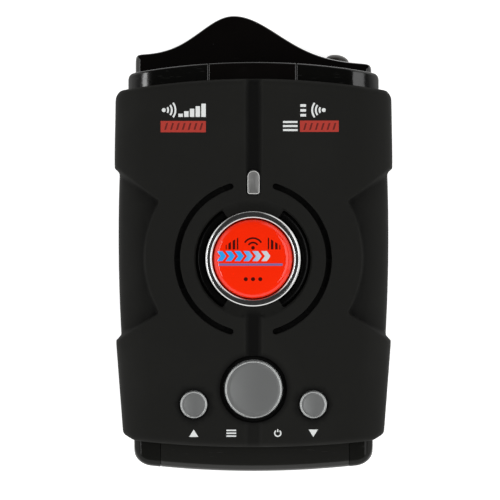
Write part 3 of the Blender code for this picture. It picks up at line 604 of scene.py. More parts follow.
def build_upper_case():
    """The upper half: top_height over the plane, from the seam up and over, open at the nose and rear."""
    mouth = mouth_columns(NOSE_MOUTH_HALF, True)
    rear = mouth_columns(REAR_MOUTH_HALF, False)
    edge_z = np.full(len(CASE_CURVE.points), SEAM_Z + SEAM_GAP / 2)
    x = np.abs(CASE_CURVE.points[:, 0])
    shoulder = quarter_drop(side_x(CASE_CURVE.points[:, 1]) - x, *SIDE_ROUND)
    edge_z[mouth] = np.minimum(NOSE_MOUTH_Z, TOP_Z - 1.9 - shoulder[mouth])
    edge_z[rear] = REAR_MOUTH_Z - 0.4 * shoulder[rear]
    shell(
        "upper_shell",
        sign=1,
        drop=lambda x, y: TOP_Z - top_height(x, y),
        shadow=top_shadow,
        holes=upper_holes(),
        features=upper_features,
        rounds=(SIDE_ROUND, END_ROUND),
        rim_insets=(0.6, 0.35),
        rows=((1.0, 0.0), (2.0, 0.0)),
        edge_z=edge_z,
        wall=UPPER_SIDE_WALL,
        replaces=["upper_case"],
    )


def screw_places():
    """Middles of the four case screws in plan."""
    names = [f"case_screw_{end}_{side}" for end in ("front", "rear") for side in ("left", "right")]
    return [middle(name)[:2] for name in names]


def base_pockets():
    """Plan boxes of what is let into the base, as middle, half size and depth, from the pieces there."""
    found = []
    pockets = {"front_grip_pad": PAD_POCKET, "rear_grip_pad": PAD_POCKET, "rating_label": LABEL_POCKET}
    for node, depth in pockets.items():
        half, centre = half_middle(node)
        found.append((centre[:2], half[:2] + 0.3, depth))
    return found


def base_drop(x, y):
    """Rise of the base above its lowest level: round edges, pockets for pads and label, screw wells."""
    share = grip_share(x, y)
    side = side_x(y) - np.abs(x) - 0.4 - share * grip_inset(y)
    front, rear = end_insets(x, y)
    rise = quarter_drop(side, *BASE_SIDE_ROUND)
    rise = rise + quarter_drop(front, *BASE_END_ROUND) + quarter_drop(rear, *BASE_END_ROUND)
    for centre, half, depth in base_pockets():
        outside = np.maximum(np.abs(x - centre[0]) - half[0], np.abs(y - centre[1]) - half[1])
        rise = rise + depth * smoothstep(0.5 - outside / 0.15)
    for centre in screw_places():
        well = smoothstep((SCREW_WELL_R - away(x, y, centre)) / 0.2)
        rise = np.maximum(rise, SCREW_WELL_DEPTH * well)
    return rise


def base_features(rim):
    """Lines where the base bends: round its pockets and screw wells."""
    lines = edge_lines(rim)
    for centre, half, _ in base_pockets():
        for grow in (-0.12, -0.04, 0.04, 0.12, 0.4):
            lines.append(resampled(rounded_box(*(half + grow), 0.15) + centre, 0.5))
    steps = (-0.5, -0.2, -0.1, 0.0, 0.3)
    lines += [circle(place, SCREW_WELL_R + d) for place in screw_places() for d in steps]
    return lines


def build_lower_case():
    """The lower half: base_drop over the plane, from the seam down and under, with the lip in the seam."""
    edge_z = np.full(len(CASE_CURVE.points), SEAM_Z - SEAM_GAP / 2)
    edge_z[mouth_columns(NOSE_MOUTH_HALF, True)] = low_high("front_lens")[0][2] - 0.3
    edge_z[mouth_columns(REAR_MOUTH_HALF, False)] = low_high("rear_bezel")[0][2] - 0.3
    step, lip = 0.9 * SEAM_GAP, low_high("lower_case")[1][2] - SEAM_Z + SEAM_GAP / 2
    case = shell(
        "lower_shell",
        sign=-1,
        drop=base_drop,
        # painted shade: the base's grips are darkened as hollows
        shadow=grip_share,
        holes=[],
        features=base_features,
        rounds=(BASE_SIDE_ROUND, BASE_END_ROUND),
        rim_insets=(0.5, 0.5),
        rows=((0.5, 0.0), (0.55, step), (2.3, step), (2.4, lip), (3.1, lip), (3.2, -1.3)),
        edge_z=edge_z,
        wall=LOWER_SIDE_WALL,
        replaces=["lower_case"],
    )
    drill(case, *jack_axis(), JACK_HOLE_R)


def jack_axis():
    """Outer end of the power socket's axis, and the turn that takes +Z to it."""
    _, y, z = middle("power_jack")
    return Vector((low_high("power_jack")[1][0], y, z)), Matrix.Rotation(math.pi / 2, 4, "Y")


def drill(piece, centre, turn, radius):
    """Cut a round hole through a piece's wall with a prism 10 long, and apply the cut."""
    bit = mesh_of("drill", *closed_rings([at_height(circle((0, 0), radius), z) for z in (-5, 5)]))
    bit.transform(Matrix.Translation(centre * MM) @ turn)
    tool = linked("drill", bit)
    cut = piece.modifiers.new("hole", "BOOLEAN")
    cut.object, cut.operation, cut.solver = tool, "DIFFERENCE", "EXACT"
    cut_mesh = bpy.data.meshes.new_from_object(piece.evaluated_get(bpy.context.evaluated_depsgraph_get()))
    piece.modifiers.clear()
    piece.data = cut_mesh
    bpy.data.objects.remove(tool)


# ---- Nose and rear frame ----

BELL_LINE = (45.7, -0.04)  # height and slope of the line that the bell stands on
BELL_HEIGHT, BELL_X, BELL_SPREADS = 10.8, -4.7, (12.0, 15.3)
BROW_EDGE_Y, BROW_BOW, BROW_FOLD_X = 44.9, 0.003, 24.3
BROW_SLOPE, BROW_CURVE = 0.123, 0.0201  # how its top sinks past the fold
BROW_SIDE_ROUND, FRAME_SIDE_ROUND = (1.6, 1.4), (4.2, 3.2)
BROW_CUT, FRAME_CUT = 0.16, 0.05  # radius of the cut ends beside each window
LEG_FRONT_Y = 41.0
FRAME_EDGE_Y, FRAME_BOW = -56.75, 0.00215
SHELF_DEPTH = 9.6  # from the rear frame's back edge to its front
EYE_R = 2.95


def bell_edge(x):
    """Front edge of the nose lens: a sloping line plus an off-centre bell, wider on its right."""
    spread = np.where(x < BELL_X, *BELL_SPREADS)
    return BELL_LINE[0] + BELL_LINE[1] * x + BELL_HEIGHT * np.exp(-(((x - BELL_X) / spread) ** 2))


def build_nose_lens():
    """The bell's outline lofted from base to top. Its top edge is a quarter round, wide at the two ends and
    narrow along the bell."""
    low, high = low_high("front_lens")
    x = np.linspace(high[0], low[0], 160)
    back = np.array([(low[0], low[1]), (high[0], low[1])])
    outline = resampled(np.vstack([back, np.stack([x, bell_edge(x)], 1)]), 0.3)
    curve = Curve(rounded(outline, 0.3, 1.0))
    edge = size("lens_edge")
    top = [*round_edge(edge, high[2], 1, 9), (edge + 0.1, high[2])]
    bottom = [*round_edge(1.0, low[2], -1), (1.1, low[2])][::-1]
    walls = [(0.0, z) for z in np.linspace(low[2] + 1.4, high[2] - edge - 0.2, 5)]
    narrow = 0.2 + 0.8 * curve.normals[:, 0] ** 8
    rings = [at_height(curve.offset(-inset * narrow), z) for inset, z in [*bottom, *walls, *top]]
    rings_piece("nose_lens", rings, "smoke_lens", "smoke_lens", replaces=["front_lens"])


def bar_along_x(x, inner_y, outer_y, top, base, radius, foot):
    """Points and faces of a bar whose section at each x runs along its top from inner_y, round a quarter
    circle, down its outer side and over a chamfer to its base. x, outer_y and top are columns."""
    turn = np.linspace(0, math.pi / 2, 13)
    way = np.sign(outer_y - inner_y)
    column = np.ones_like(x)
    edge_y = outer_y - way * radius * (1 - np.sin(turn))
    edge_z = top - radius * (1 - np.cos(turn))
    y = np.hstack([inner_y * column, edge_y, outer_y, outer_y - way * foot, inner_y * column])
    z = np.hstack([top, edge_z, (base + foot) * column, base * column, base * column])
    return closed_rings(np.stack([x * np.ones_like(y), y, z], -1))


def merged(parts):
    """Several bodies' points and faces as one mesh's."""
    starts = np.cumsum([0] + [len(points) for points, _ in parts])
    faces = [group + start for start, (_, groups) in zip(starts, parts) for group in groups]
    return np.vstack([points for points, _ in parts]), faces


def near_ends(first, last, count, reach=0.9):
    """Stations from first to last as a column, close together near both ends."""
    head = reach * (1 - np.cos(np.linspace(0, math.pi / 2, 6)))
    between = np.linspace(first + reach, last - reach, count)[1:-1]
    return np.concatenate([first + head, between, last - head[::-1]])[:, None]


def brow_bar(x0, x1, base_z, count):
    """The brow from x0 to x1: a flat top that sinks past its fold, a round front edge, and drawn-in ends."""
    low, high = low_high("front_bezel")
    x = near_ends(x0, x1, count)
    from_side, from_cut = high[0] - np.abs(x), np.minimum(x - x0, x1 - x)
    past_fold = np.maximum(np.abs(x) - BROW_FOLD_X, 0)
    cut = quarter_drop(from_cut, BROW_CUT, BROW_CUT)
    top = high[2] - BROW_SLOPE * past_fold - BROW_CURVE * past_fold**2
    top = top - quarter_drop(from_side, 0.5, 0.5) - cut
    front = BROW_EDGE_Y - BROW_BOW * x * x - quarter_drop(from_side, *BROW_SIDE_ROUND) - cut
    return bar_along_x(x, low[1], front, top, base_z, 0.6, 0.3)


def upright_bar(x_range, y_range, z_range, edge):
    """A box with rounded upright edges."""
    low, high = np.array([x_range, y_range]).T
    outline = rounded_box(*(high - low) / 2, edge, 5) + (low + high) / 2
    return closed_rings([at_height(outline, z) for z in z_range])


def build_brow():
    """Two bars beside the window, a rail under it, a leg down each side, and the window as a bar."""
    low, high = low_high("front_bezel")
    window_low, window_high = low_high("laser_window")
    joint = size("joint_width")
    left, right = window_low[0] - joint, window_high[0] + joint
    lens_high = low_high("front_lens")[1]
    bar_base = lens_high[2] + SEAM_GAP
    parts = [brow_bar(x0, x1, bar_base, 16) for x0, x1 in ((low[0], left), (right, high[0]))]
    rail_y, rail_z = (low[1], BROW_EDGE_Y - 0.9), (bar_base, window_low[2] - SEAM_GAP)
    parts.append(upright_bar((left - 0.2, right + 0.2), rail_y, rail_z, 0.1))
    for side in (-1, 1):
        leg = sorted((side * (lens_high[0] + SEAM_GAP), side * high[0]))
        parts.append(upright_bar(leg, (low[1], LEG_FRONT_Y), (low[2], bar_base + 0.4), 0.4))
    put("brow", *merged(parts), "gloss_black", "gloss_black", replaces=["front_bezel"])
    window = brow_bar(window_low[0], window_high[0], window_low[2], 24)
    put("brow_window", *window, "smoke_lens", "smoke_lens", replaces=["laser_window"])


def build_eye():
    """The round eye: a quarter-ellipse dome and a thin collar, turned about an axis square to the wall."""
    (_, tip_y, _), (x, _, z) = low_high("eye_lens")[1], middle("eye_lens")
    centre = Vector((x - 0.1, 0, z))
    centre.y = float(bell_edge(centre.x))
    slope = float(bell_edge(centre.x + 0.5) - bell_edge(centre.x - 0.5))
    turn = Matrix.Translation(centre * MM)
    turn = turn @ Matrix.Rotation(math.atan(slope), 4, "Z") @ Matrix.Rotation(-math.pi / 2, 4, "X")
    dome = arc_profile((0, 0), (EYE_R, tip_y - centre.y - 0.2), 0, 87, 14)
    profile = [(EYE_R - 0.4, -0.5), (EYE_R, -0.45), *dome]
    lens = turned("eye_dome", profile, 64, (0, 0), "clear_lens", "clear_lens", replaces=["eye_lens"])
    collar = np.array([(0.02, 0.12), (0.12, 0.25), (0.38, 0.25), (0.5, 0.1), (0.5, -0.3), (0.02, -0.3)])
    collar = collar + [EYE_R, 0]
    ring = turned("eye_collar", collar, 64, (0, 0), "rubber", "gloss_black", closed=True)
    for obj in (lens, ring):
        obj.data.transform(turn)


def frame_edge_y(x):
    """Back edge of the rear frame: a shallow bow, furthest back at its middle."""
    return FRAME_EDGE_Y + FRAME_BOW * x * x


def frame_bar(x0, x1, foot_z, count, recess=0.0):
    """The rear frame from x0 to x1: a flat shelf, a wide round shoulder, an upright back and a small foot.
    Its sides are quarter ellipses, and the cut ends have a small quarter round."""
    low, high = low_high("rear_bezel")
    x = near_ends(x0, x1, count, 0.6)
    from_side = high[0] - np.abs(x)
    cut = quarter_drop(np.minimum(x - x0, x1 - x), FRAME_CUT, FRAME_CUT) + recess
    top = high[2] - quarter_drop(from_side, 2.4, 1.6) - cut
    back = frame_edge_y(x) + quarter_drop(from_side, *FRAME_SIDE_ROUND) + cut
    return bar_along_x(x, low[1] + SHELF_DEPTH, back, top, foot_z, size("frame_edge"), 0.5)


def build_rear_frame():
    """Two bars beside the display, the sill under it, and its cover, a recessed bar of the same form."""
    low, high = low_high("rear_bezel")
    window_low, window_high = low_high("display_window")
    joint = size("joint_width")
    left, right = window_low[0] - joint, window_high[0] + joint
    sill_top = window_low[2] - 0.25
    parts = [frame_bar(x0, x1, low[2], 14) for x0, x1 in ((low[0], left), (right, high[0]))]
    x = np.linspace(left - 0.1, right + 0.1, 40)[:, None]
    flat = np.full_like(x, sill_top)
    parts.append(bar_along_x(x, low[1] + SHELF_DEPTH, frame_edge_y(x), flat, low[2], 0.25, 0.6))
    put("rear_frame", *merged(parts), "rear_gloss", "gloss_black", replaces=["rear_bezel"])
    cover = frame_bar(window_low[0], window_high[0], window_low[2], 40, 0.06)
    put("display_cover", *cover, "display_smoke", "smoke_lens", replaces=["display_window"])


# ---- Badge, light, keys, speaker ----


def arc_profile(centre, radii, from_deg, to_deg, count):
    """(radius, height) pairs along an ellipse arc."""
    turn = np.radians(np.linspace(from_deg, to_deg, count))
    return np.stack([centre[0] + radii[0] * np.cos(turn), centre[1] + radii[1] * np.sin(turn)], 1)


def build_badge():
    """A ring with a flattened crown, where the cubes of across and up add to one, and a dome that falls
    slowly at first and fast at its rim, as a square, a sixth and a twentieth power of the radius."""
    low, high = low_high("badge_ring")
    dome_low, dome_high = low_high("badge_dome")
    outer, radius = half_middle("badge_ring")[0][0], half_middle("badge_dome")[0][0]
    inner = radius + 0.2
    half, rise = (outer - inner) / 2, 0.85
    across = np.cos(np.linspace(0, math.pi, 25))
    crown_z = high[2] - rise + rise * np.cbrt(1 - np.abs(across) ** 3)
    crown = np.stack([inner + half + half * across, crown_z], 1)
    profile = np.vstack([[(outer, low[2])], crown, [(inner, low[2])]])
    turned("badge_trim", profile[::-1], 128, HUB, "chrome", "chrome", closed=True, replaces=["badge_ring"])
    share = np.linspace(1, 0.02, 40) ** 0.7
    fall = 0.1 * share**2 + 0.25 * share**6 + 0.7 * share**20
    profile = np.stack([radius * share, dome_high[2] - fall], 1)
    profile = np.vstack([[(radius - 0.02, dome_low[2])], profile])
    turned("badge_resin", profile, 96, HUB, "red_resin", "red_resin", replaces=["badge_dome"])


def build_light():
    """The light's outline lofted from its flange under the case to a round edge and a hollow face."""
    low, high = low_high("light_pipe")
    under = CEILING_Z - SEAM_GAP
    column = light_curve(0.0)
    rows = [(column.offset(0.85), low[2]), (column.offset(0.85), under), (column.offset(0.02), under)]
    rows += [(column.offset(0.0), under + 0.1), (column.offset(0.0), high[2] - 0.42)]
    rows += [(column.offset(-inset), z - 0.04) for inset, z in round_edge(0.34, high[2], 1, 6)]
    rows += [(column.offset(-0.4), high[2] - 0.04), (column.offset(-0.55), high[2] - 0.14)]
    rings = np.array([at_height(points, z) for points, z in rows])
    rings_piece("light_lens", rings, "light_guide", "light_guide", replaces=["light_pipe"])


def key_profile(node, radius, dish):
    """A key from its stem up: stem, flange, cap wall, a raised round rim, and a face that dips to its middle
    by the square of the radius."""
    low, high = low_high(node)
    flange_top = CEILING_Z - SEAM_GAP
    edge = size("key_rim")
    rim = arc_profile((radius - edge, high[2] - edge), (edge, edge), 0, 165, 10)
    share = np.array([1, 0.85, 0.7, 0.5, 0.3, 0.12, 0.02])
    face = np.stack([(radius - 0.55) * share, high[2] - 0.16 - dish * (1 - share**2)], 1)
    stem, flange = 1.6, radius + KEY_FLANGE
    under = [(stem, low[2]), (stem, flange_top - 1.0), (flange, flange_top - 1.0), (flange, flange_top)]
    return [*under, (radius, flange_top), *rim, *face]


def build_keys():
    """Three turned keys, each riding on its own body."""
    small = (0.12, 72)
    for key, place, dish, count in (("menu", MENU, 0.22, 120), ("up", UP, *small), ("down", DOWN, *small)):
        node = f"{key}_button"
        profile = key_profile(node, half_middle(node)[0][0] - KEY_FLANGE, dish)
        rides = {"body": f"{key}_key", "replaces": [node]}
        turned(f"{key}_cap", profile, count, place, "key_metal", "silver_key", **rides)


def build_speaker_screen():
    """The screen under the sound slots: a disc with a raised ring and short ribs, hollow below the light."""
    low, high = low_high("speaker_cloth")
    radius = half_middle("speaker_cloth")[0][0]
    turn = np.linspace(0, 2 * math.pi, 240, endpoint=False)
    reach = np.concatenate([[0.4], np.linspace(1.5, radius - 0.02, 64), [radius]])
    r, a = np.meshgrid(reach, turn, indexing="ij")
    ribs = smoothstep((0.045 - np.abs((a * 8 / math.pi + 0.5) % 1 - 0.5)) / 0.02)
    rings = smoothstep(1.4 - np.abs(r - 12.9) / 1.1) * 0.35 + 0.3 * ribs * smoothstep((r - 15.5) / 0.5)
    notch = smoothstep(1.2 - np.hypot(r * np.cos(a), r * np.sin(a) + HUB[1] - 15.0) / 4.5)
    z = high[2] - 0.05 + rings * 0.9 - 2.0 * notch
    top = np.stack([HUB[0] + r * np.cos(a), HUB[1] + r * np.sin(a), z], -1)
    under = top * [1, 1, 0] + [0, 0, low[2] - 2.2]
    rows = np.concatenate([under[-1:], top[::-1]])
    rings_piece("speaker_screen", rows, "screen", "cloth", replaces=["speaker_cloth"])


# ---- Printed marks ----


def slab(outline, z0, z1):
    """A flat closed prism over an outline."""
    return closed_rings([at_height(walked_ccw(np.asarray(outline, float)), z) for z in (z0, z1)])


def bar(x0, x1, y0, y1):
    """Corners of an upright rectangle."""
    return [(x0, y0), (x1, y0), (x1, y1), (x0, y1)]


def arc_band(centre, radius, width, from_deg, to_deg, count=14):
    """An arc of even width, as the outline of its outer edge and back along its inner one."""
    turn = np.radians(np.linspace(from_deg, to_deg, count))
    way = np.stack([np.cos(turn), np.sin(turn)], 1)
    return np.vstack([centre + (radius + width) * way, (centre + radius * way)[::-1]])


def print_marks(name, outlines, look, coat=0):
    """Ink as thin slabs standing just proud of the top face, or of the coats under it."""
    film = size("ink_thickness")
    z = TOP_Z + coat * film
    put(name, *merged([slab(outline, z - 0.02, z + film) for outline in outlines]), look, "")


def signal_arcs(centre, turned_to):
    """A dot with three arcs beside it, as on any sign for a sender."""
    centre = np.array(centre)
    found = [arc_band(centre, 0.0, 0.5, 0, 350, 20)]
    for ring in range(3):
        found.append(arc_band(centre, 0.85 + ring * 0.9, 0.45, turned_to - 38, turned_to + 38))
    return found


def build_marks():
    """Generic signs: senders and beams at the front, arrows and a list by the keys. No lettering."""
    left_x, right_x = -23.0, 11.5
    white = signal_arcs((left_x + 0.8, 32.9), 0)
    white += [bar(left_x + 4.4 + k * 1.42, left_x + 5.5 + k * 1.42, 31.2, 32.0 + k * 0.62) for k in range(5)]
    white += signal_arcs((right_x + 5.9, 32.9), 180)
    white += [bar(right_x - 4.2, right_x - 0.6, y, y + 0.5) for y in (27.7, 28.7, 29.7)]
    white += [bar(right_x + 0.1, right_x + 1.5, y, y + 0.65) for y in (31.3, 32.5, 33.7)]
    label_y = -47.1
    height = 0.92
    for key, sign in ((UP, 1), (DOWN, -1)):
        tip, foot = label_y + sign * height, label_y - sign * height
        white.append([(key[0] - 1.15, foot), (key[0] + 1.15, foot), (key[0], tip)])
    white += [bar(-6.7, -4.3, label_y + dy - 0.18, label_y + dy + 0.18) for dy in (-0.7, 0.0, 0.7)]
    white += [arc_band(np.array([6.0, label_y]), 0.6, 0.32, 125, 415, 24)]
    white += [bar(5.84, 6.16, label_y + 0.3, label_y + 1.0)]
    print_marks("white_signs", white, "white_ink")
    red = [bar(left_x, left_x + 11.2, 27.4, 30.2), bar(right_x, right_x + 9.6, 27.5, 30.3)]
    print_marks("red_bars", red, "red_ink")
    notches = []
    for start, count in ((left_x + 0.9, 7), (right_x + 0.8, 6)):
        for k in range(count):
            x = start + k * 1.45
            notches.append([(x, 28.0), (x + 0.45, 28.0), (x + 0.95, 29.7), (x + 0.5, 29.7)])
    print_marks("dark_ticks", notches, "dark_ink", coat=1)


# ---- Base pieces ----


def build_pads():
    """Soft grip pads: ribs along X, as high as a sine's size to the power 0.7, with quarter-round edges."""
    for node in ("front_grip_pad", "rear_grip_pad"):
        (low, high), (half, centre) = low_high(node), half_middle(node)
        y = np.arange(-half[1], half[1] + 0.01, 0.1)
        x = half[0] - 0.25 * (1 - np.cos(np.linspace(0.1, math.pi / 2, 5)))
        x = np.concatenate([-x, x[::-1]])[:, None]
        rib = 0.35 * np.abs(np.sin(math.pi * y / 1.5)) ** 0.7
        hollow = (0.35 - rib) * 0.6 * (np.abs(y) < half[1] - 0.6)
        edges = quarter_drop(half[1] - np.abs(y), 0.5, 0.5) + quarter_drop(half[0] - np.abs(x), 0.25, 0.25)
        z = low[2] + hollow + edges
        top = np.full((len(x), 2), high[2])
        section_y = np.concatenate([y, [half[1], -half[1]]])
        rings = np.stack(np.broadcast_arrays(x + centre[0], section_y + centre[1], np.hstack([z, top])), -1)
        rings_piece(f"{node}_ribbed", rings, "rubber", "rubber", replaces=[node])


def build_label():
    """The blank rating label: a round-cornered plate whose lower edge is drawn in."""
    (low, high), (half, centre) = low_high("rating_label"), half_middle("rating_label")
    outline = rounded_box(*half[:2], 1.2) + centre[:2]
    inset = rounded_box(*(half[:2] - 0.06), 1.14) + centre[:2]
    rings = [at_height(outline, high[2]), at_height(outline, low[2] + 0.06), at_height(inset, low[2])]
    rings_piece("blank_label", rings, "label", "label", replaces=["rating_label"])


def build_jack():
    """The power socket's lining and centre pin, turned about the socket's axis along X."""
    centre, turn = jack_axis()
    turn = Matrix.Translation(centre * MM) @ turn
    bore, nose, depth = 1.85, JACK_HOLE_R - SEAM_GAP, -7.0
    collar = [(bore, depth), (nose, depth), (nose, 0.1), (nose - 0.2, 0.3), (2.2, 0.3), (bore, -0.1)]
    pin = [(0.5, -6.0), (0.5, -0.9), (0.36, -0.6), (0.02, -0.55)]
    ring = turned("jack_collar", collar, 72, (0, 0), "gloss_black", "gloss_black", closed=True)
    post = turned("jack_pin", pin, 32, (0, 0), "steel", "steel")
    for obj in (ring, post):
        obj.data.transform(turn)


# ---- Finishes ----


class Wire:
    """An output of a shader node. Operators on it add Math nodes, and node() adds any other node."""

    def __init__(self, tree, socket=None):
        self.tree, self.socket = tree, socket

    def node(self, kind, sockets=None, out=0, **settings):
        """Add a node. Its settings are set first, and then its sockets' values or links."""
        made = self.tree.nodes.new(f"ShaderNode{kind}")
        for name, value in settings.items():
            setattr(made, name, value)
        for name, value in (sockets or {}).items():
            if isinstance(value, Wire):
                self.tree.links.new(value.socket, made.inputs[name])
            else:
                made.inputs[name].default_value = value
        return Wire(self.tree, made.outputs[out]) if made.outputs else None

    def of(self, operation, *others):
        """A Math operation on this and any others."""
        return self.node("Math", dict(enumerate((self, *others))), operation=operation)

    def __add__(self, other):
        return self.of("ADD", other)

    def __sub__(self, other):
        return self.of("SUBTRACT", other)

    def __rsub__(self, other):
        return -self + other

    def __mul__(self, other):
        return self.of("MULTIPLY", other)

    def __truediv__(self, other):
        return self.of("DIVIDE", other)

    def __pow__(self, other):
        return self.of("POWER", other)

    def __neg__(self):
        return self.of("MULTIPLY", -1.0)

    __radd__, __rmul__ = __add__, __mul__

    def __abs__(self):
        return self.of("ABSOLUTE")

    def least(self, other):
        return self.of("MINIMUM", other)

    def most(self, other):
        return self.of("MAXIMUM", other)

    def rise(self, low, high):
        """0 below low and 1 above high, smooth between. With high under low it falls instead."""
        sockets = {"Value": self, "From Min": low, "From Max": high}
        return self.node("MapRange", sockets, interpolation_type="SMOOTHSTEP")

    def moved(self, offset=(0, 0, 0), scale=(1, 1, 1)):
        return self.node("Mapping", {"Vector": self, "Location": offset, "Scale": scale})

    def parts(self):
        return [self.node("SeparateXYZ", {0: self}, out=k) for k in range(3)]

    def noise(self, scale, detail=2.0, roughness=0.5):
        """Soft noise about 0.5, in features per millimetre."""
        sockets = {"Vector": self, "Scale": scale, "Detail": detail, "Roughness": roughness}
        return self.node("TexNoise", sockets)

    def cells(self, scale, out=0, **settings):
        return self.node("TexVoronoi", {"Vector": self, "Scale": scale}, out, **settings)

    def mix(self, first, second):
        """The colour first where this is 0 and second where it is 1."""
        return self.node("Mix", {0: self, 6: first, 7: second}, out=2, data_type="RGBA")

    def tinted(self, tint, times, first=1.0):
        """The tint first times over where this is 0, and times over where it is 1."""
        return self.mix(shade(tint, first), shade(tint, times))

    def bump(self, depth):
        """This as a height of so many millimetres, as a normal."""
        return self.node("Bump", {"Height": self, "Distance": depth * MM, "Strength": 1.0})


def shade(tint, times=1.0):
    """A colour made so many times lighter, as four channels."""
    return (*[channel * times for channel in tint[:3]], 1.0)


def far(x, y):
    """Length of (x, y)."""
    return (x * x + y * y) ** 0.5


def level_share(at):
    """1 where the surface lies level and looks up, 0 on a wall."""
    return at.node("NewGeometry", out="Normal").parts()[2]


def near_place(at, place):
    """x and y measured from a place in plan, and the distance from it."""
    x, y, _ = at.moved(offset=(-place[0], -place[1], 0)).parts()
    return x, y, far(x, y)


def smudges(at):
    """Broad faint patches where a hand has polished the surface."""
    return at.noise(0.055, 3.0, 0.55).rise(0.45, 0.72)


def specks(at, density=0.05, scale=0.55):
    """Sparse dust: the small cores of cells whose random value is low."""
    core = at.cells(scale).rise(0.09, 0.04)
    chosen = at.cells(scale, out="Color").parts()[0].rise(density, density * 0.8)
    return core * chosen


def scratches(at):
    """Hairline scratches: stretched noise in two directions, cut off near its crests."""
    first = at.moved(scale=(0.35, 6.0, 1.0)).noise(0.9, 2.0).rise(0.7, 0.74)
    turned_at = at.node("Mapping", {"Vector": at, "Rotation": (0.0, 0.0, 0.9), "Scale": (0.3, 7.0, 1.0)})
    return first.most(turned_at.noise(0.8, 2.0).rise(0.71, 0.75))


def soft_black(at, tint):
    """Soft-touch moulding: a fine bead-blasted grain, hand polish in patches, sloped faces painted a little
    lighter (partly edge wear, partly painted sheen), and painted shade that darkens the hollows."""
    grain = at.noise(5.5, 3.0, 0.6) + 0.6 * at.cells(4.2)
    # painted shade: the shadow attribute darkens the base colour to 0.22 of the tint in the groove, grip
    # creases and key wells
    hollow = at.node("Attribute", out="Fac", attribute_name="shadow")
    # faces that tilt away from level are painted lighter in noisy patches: partly edge wear, partly painted
    # sheen
    wear_and_sheen = level_share(at).rise(0.99, 0.55) * at.noise(0.35, 3.0).rise(0.3, 0.7)
    polish = smudges(at)
    tone = (0.12 * wear_and_sheen + 0.1 * polish + 0.1 * at.noise(0.9, 4.0) + 0.2 * specks(at, 0.03)).least(1.0)
    return {
        "Base Color": hollow.mix(tone.tinted(tint, 2.3), shade(tint, 0.22)),
        "Roughness": 0.56 - 0.07 * polish + 0.08 * at.noise(2.5, 2.0),
        "Specular IOR Level": 0.08,
        "Normal": grain.bump(0.008),
    }


def gloss_black(at, tint, haze=0.1, gloss=0.5):
    """Polished moulding: near-mirror, with hairlines, a finger's haze and stray dust."""
    lines, dust = scratches(at), specks(at, 0.06, 0.7)
    orange_peel = at.noise(0.5, 1.0)
    return {
        "Base Color": (0.12 * lines + 0.4 * dust).mix(shade(tint), (0.11, 0.11, 0.105, 1)),
        "Roughness": haze + 0.05 * smudges(at) + 0.12 * lines + 0.3 * dust,
        "Specular IOR Level": gloss,
        "Normal": orange_peel.bump(0.012),
    }


def rear_gloss(at, tint):
    """The rear frame's moulding, polished like the brow but of a duller resin."""
    return gloss_black(at, tint, 0.1, 0.12)


def smoke_lens(at, tint):
    """Infrared-clear acrylic: almost black, wine-red in its depth, glassy over a faint flow pattern."""
    found = gloss_black(at, tint, 0.08)
    depth = at.noise(0.12, 2.0)
    found["Base Color"] = (depth * 0.8 + specks(at, 0.05, 0.8)).tinted(tint, 2.6)
    found["IOR"] = ACRYLIC_IOR
    return found


def display_smoke(at, tint):
    """The display's window: smoke acrylic, less polished than the nose."""
    return {**gloss_black(at, shade(tint, 1.5), 0.16, 0.3), "IOR": ACRYLIC_IOR}


def clear_lens(at, tint):
    """The eye's cover: smooth dark acrylic with a finger's haze."""
    return {
        "Base Color": at.noise(0.4, 2.0).tinted(tint, 1.6),
        "Roughness": 0.05 + 0.04 * smudges(at),
        "Specular IOR Level": 0.2,
        "Normal": at.noise(0.4, 1.0).bump(0.01),
    }


def chrome(at, tint):
    """Bright plating: mirror with fine polishing lines and pinpoint pits."""
    lines = (near_place(at, HUB)[2] * 42.0 + 3.0 * at.noise(0.6, 2.0)).of("SINE")
    pits = specks(at, 0.08, 1.1)
    return {
        "Base Color": (at.noise(0.25, 3.0) * 0.5 + 0.5 * pits).tinted(tint, 0.72),
        "Metallic": 1.0,
        "Roughness": 0.13 + 0.05 * at.noise(1.2, 3.0) + 0.15 * pits,
        "Normal": lines.bump(0.0002),
    }


def inside(distance, soft=0.05):
    """1 where a signed distance is below 0 and 0 where it is above, over a soft edge."""
    return distance.rise(soft, -soft)


def emblem(at, red):
    """The badge's own sign, without letters: a sender between bars, a band of chevrons, a line and dots."""
    x, y, _ = near_place(at, HUB)
    blue, white, dark = (0.03, 0.35, 0.85), (0.62, 0.66, 0.68, 1), (0.055, 0.004, 0.003, 1)
    mast = y - 2.75
    reach = far(x, mast)
    beams = inside(abs(abs(reach - 1.85) - 0.55) - 0.22) * (mast - abs(x) * 0.62).rise(-0.06, 0.06)
    beams = beams.most(inside(reach - 0.45))
    bars = inside(abs((abs(x) / 1.05).of("FRACT") - 0.5) - 0.3) * inside(abs(abs(x) - 5.2) - 1.55)
    bars = bars * inside(2.35 - y) * inside(y - 7.6 + 0.62 * abs(x))
    zigzag = (x + abs(y - 0.7) * 0.75 + 10.4).of("MODULO", 2.2)
    chevrons = inside(abs(zigzag - 0.85) - 0.7) * inside(abs(y - 0.7) - 1.25) * inside(abs(x + 2.3) - 6.5)
    line = inside(abs(y + 1.4) - 0.3) * inside(abs(x + 0.6) - 7.9, 0.1)
    dot_x = abs(abs(x) - 0.9) - 0.9
    dots = inside(far(dot_x, y + 5.0) - 0.5)
    stripe = x.rise(-3.0, 3.6).mix(shade(blue), white)
    found = (line * 0.8).mix(red, shade(blue, 0.5))
    found = chevrons.mix(found, stripe)
    return beams.most(bars).most(dots).mix(found, dark)


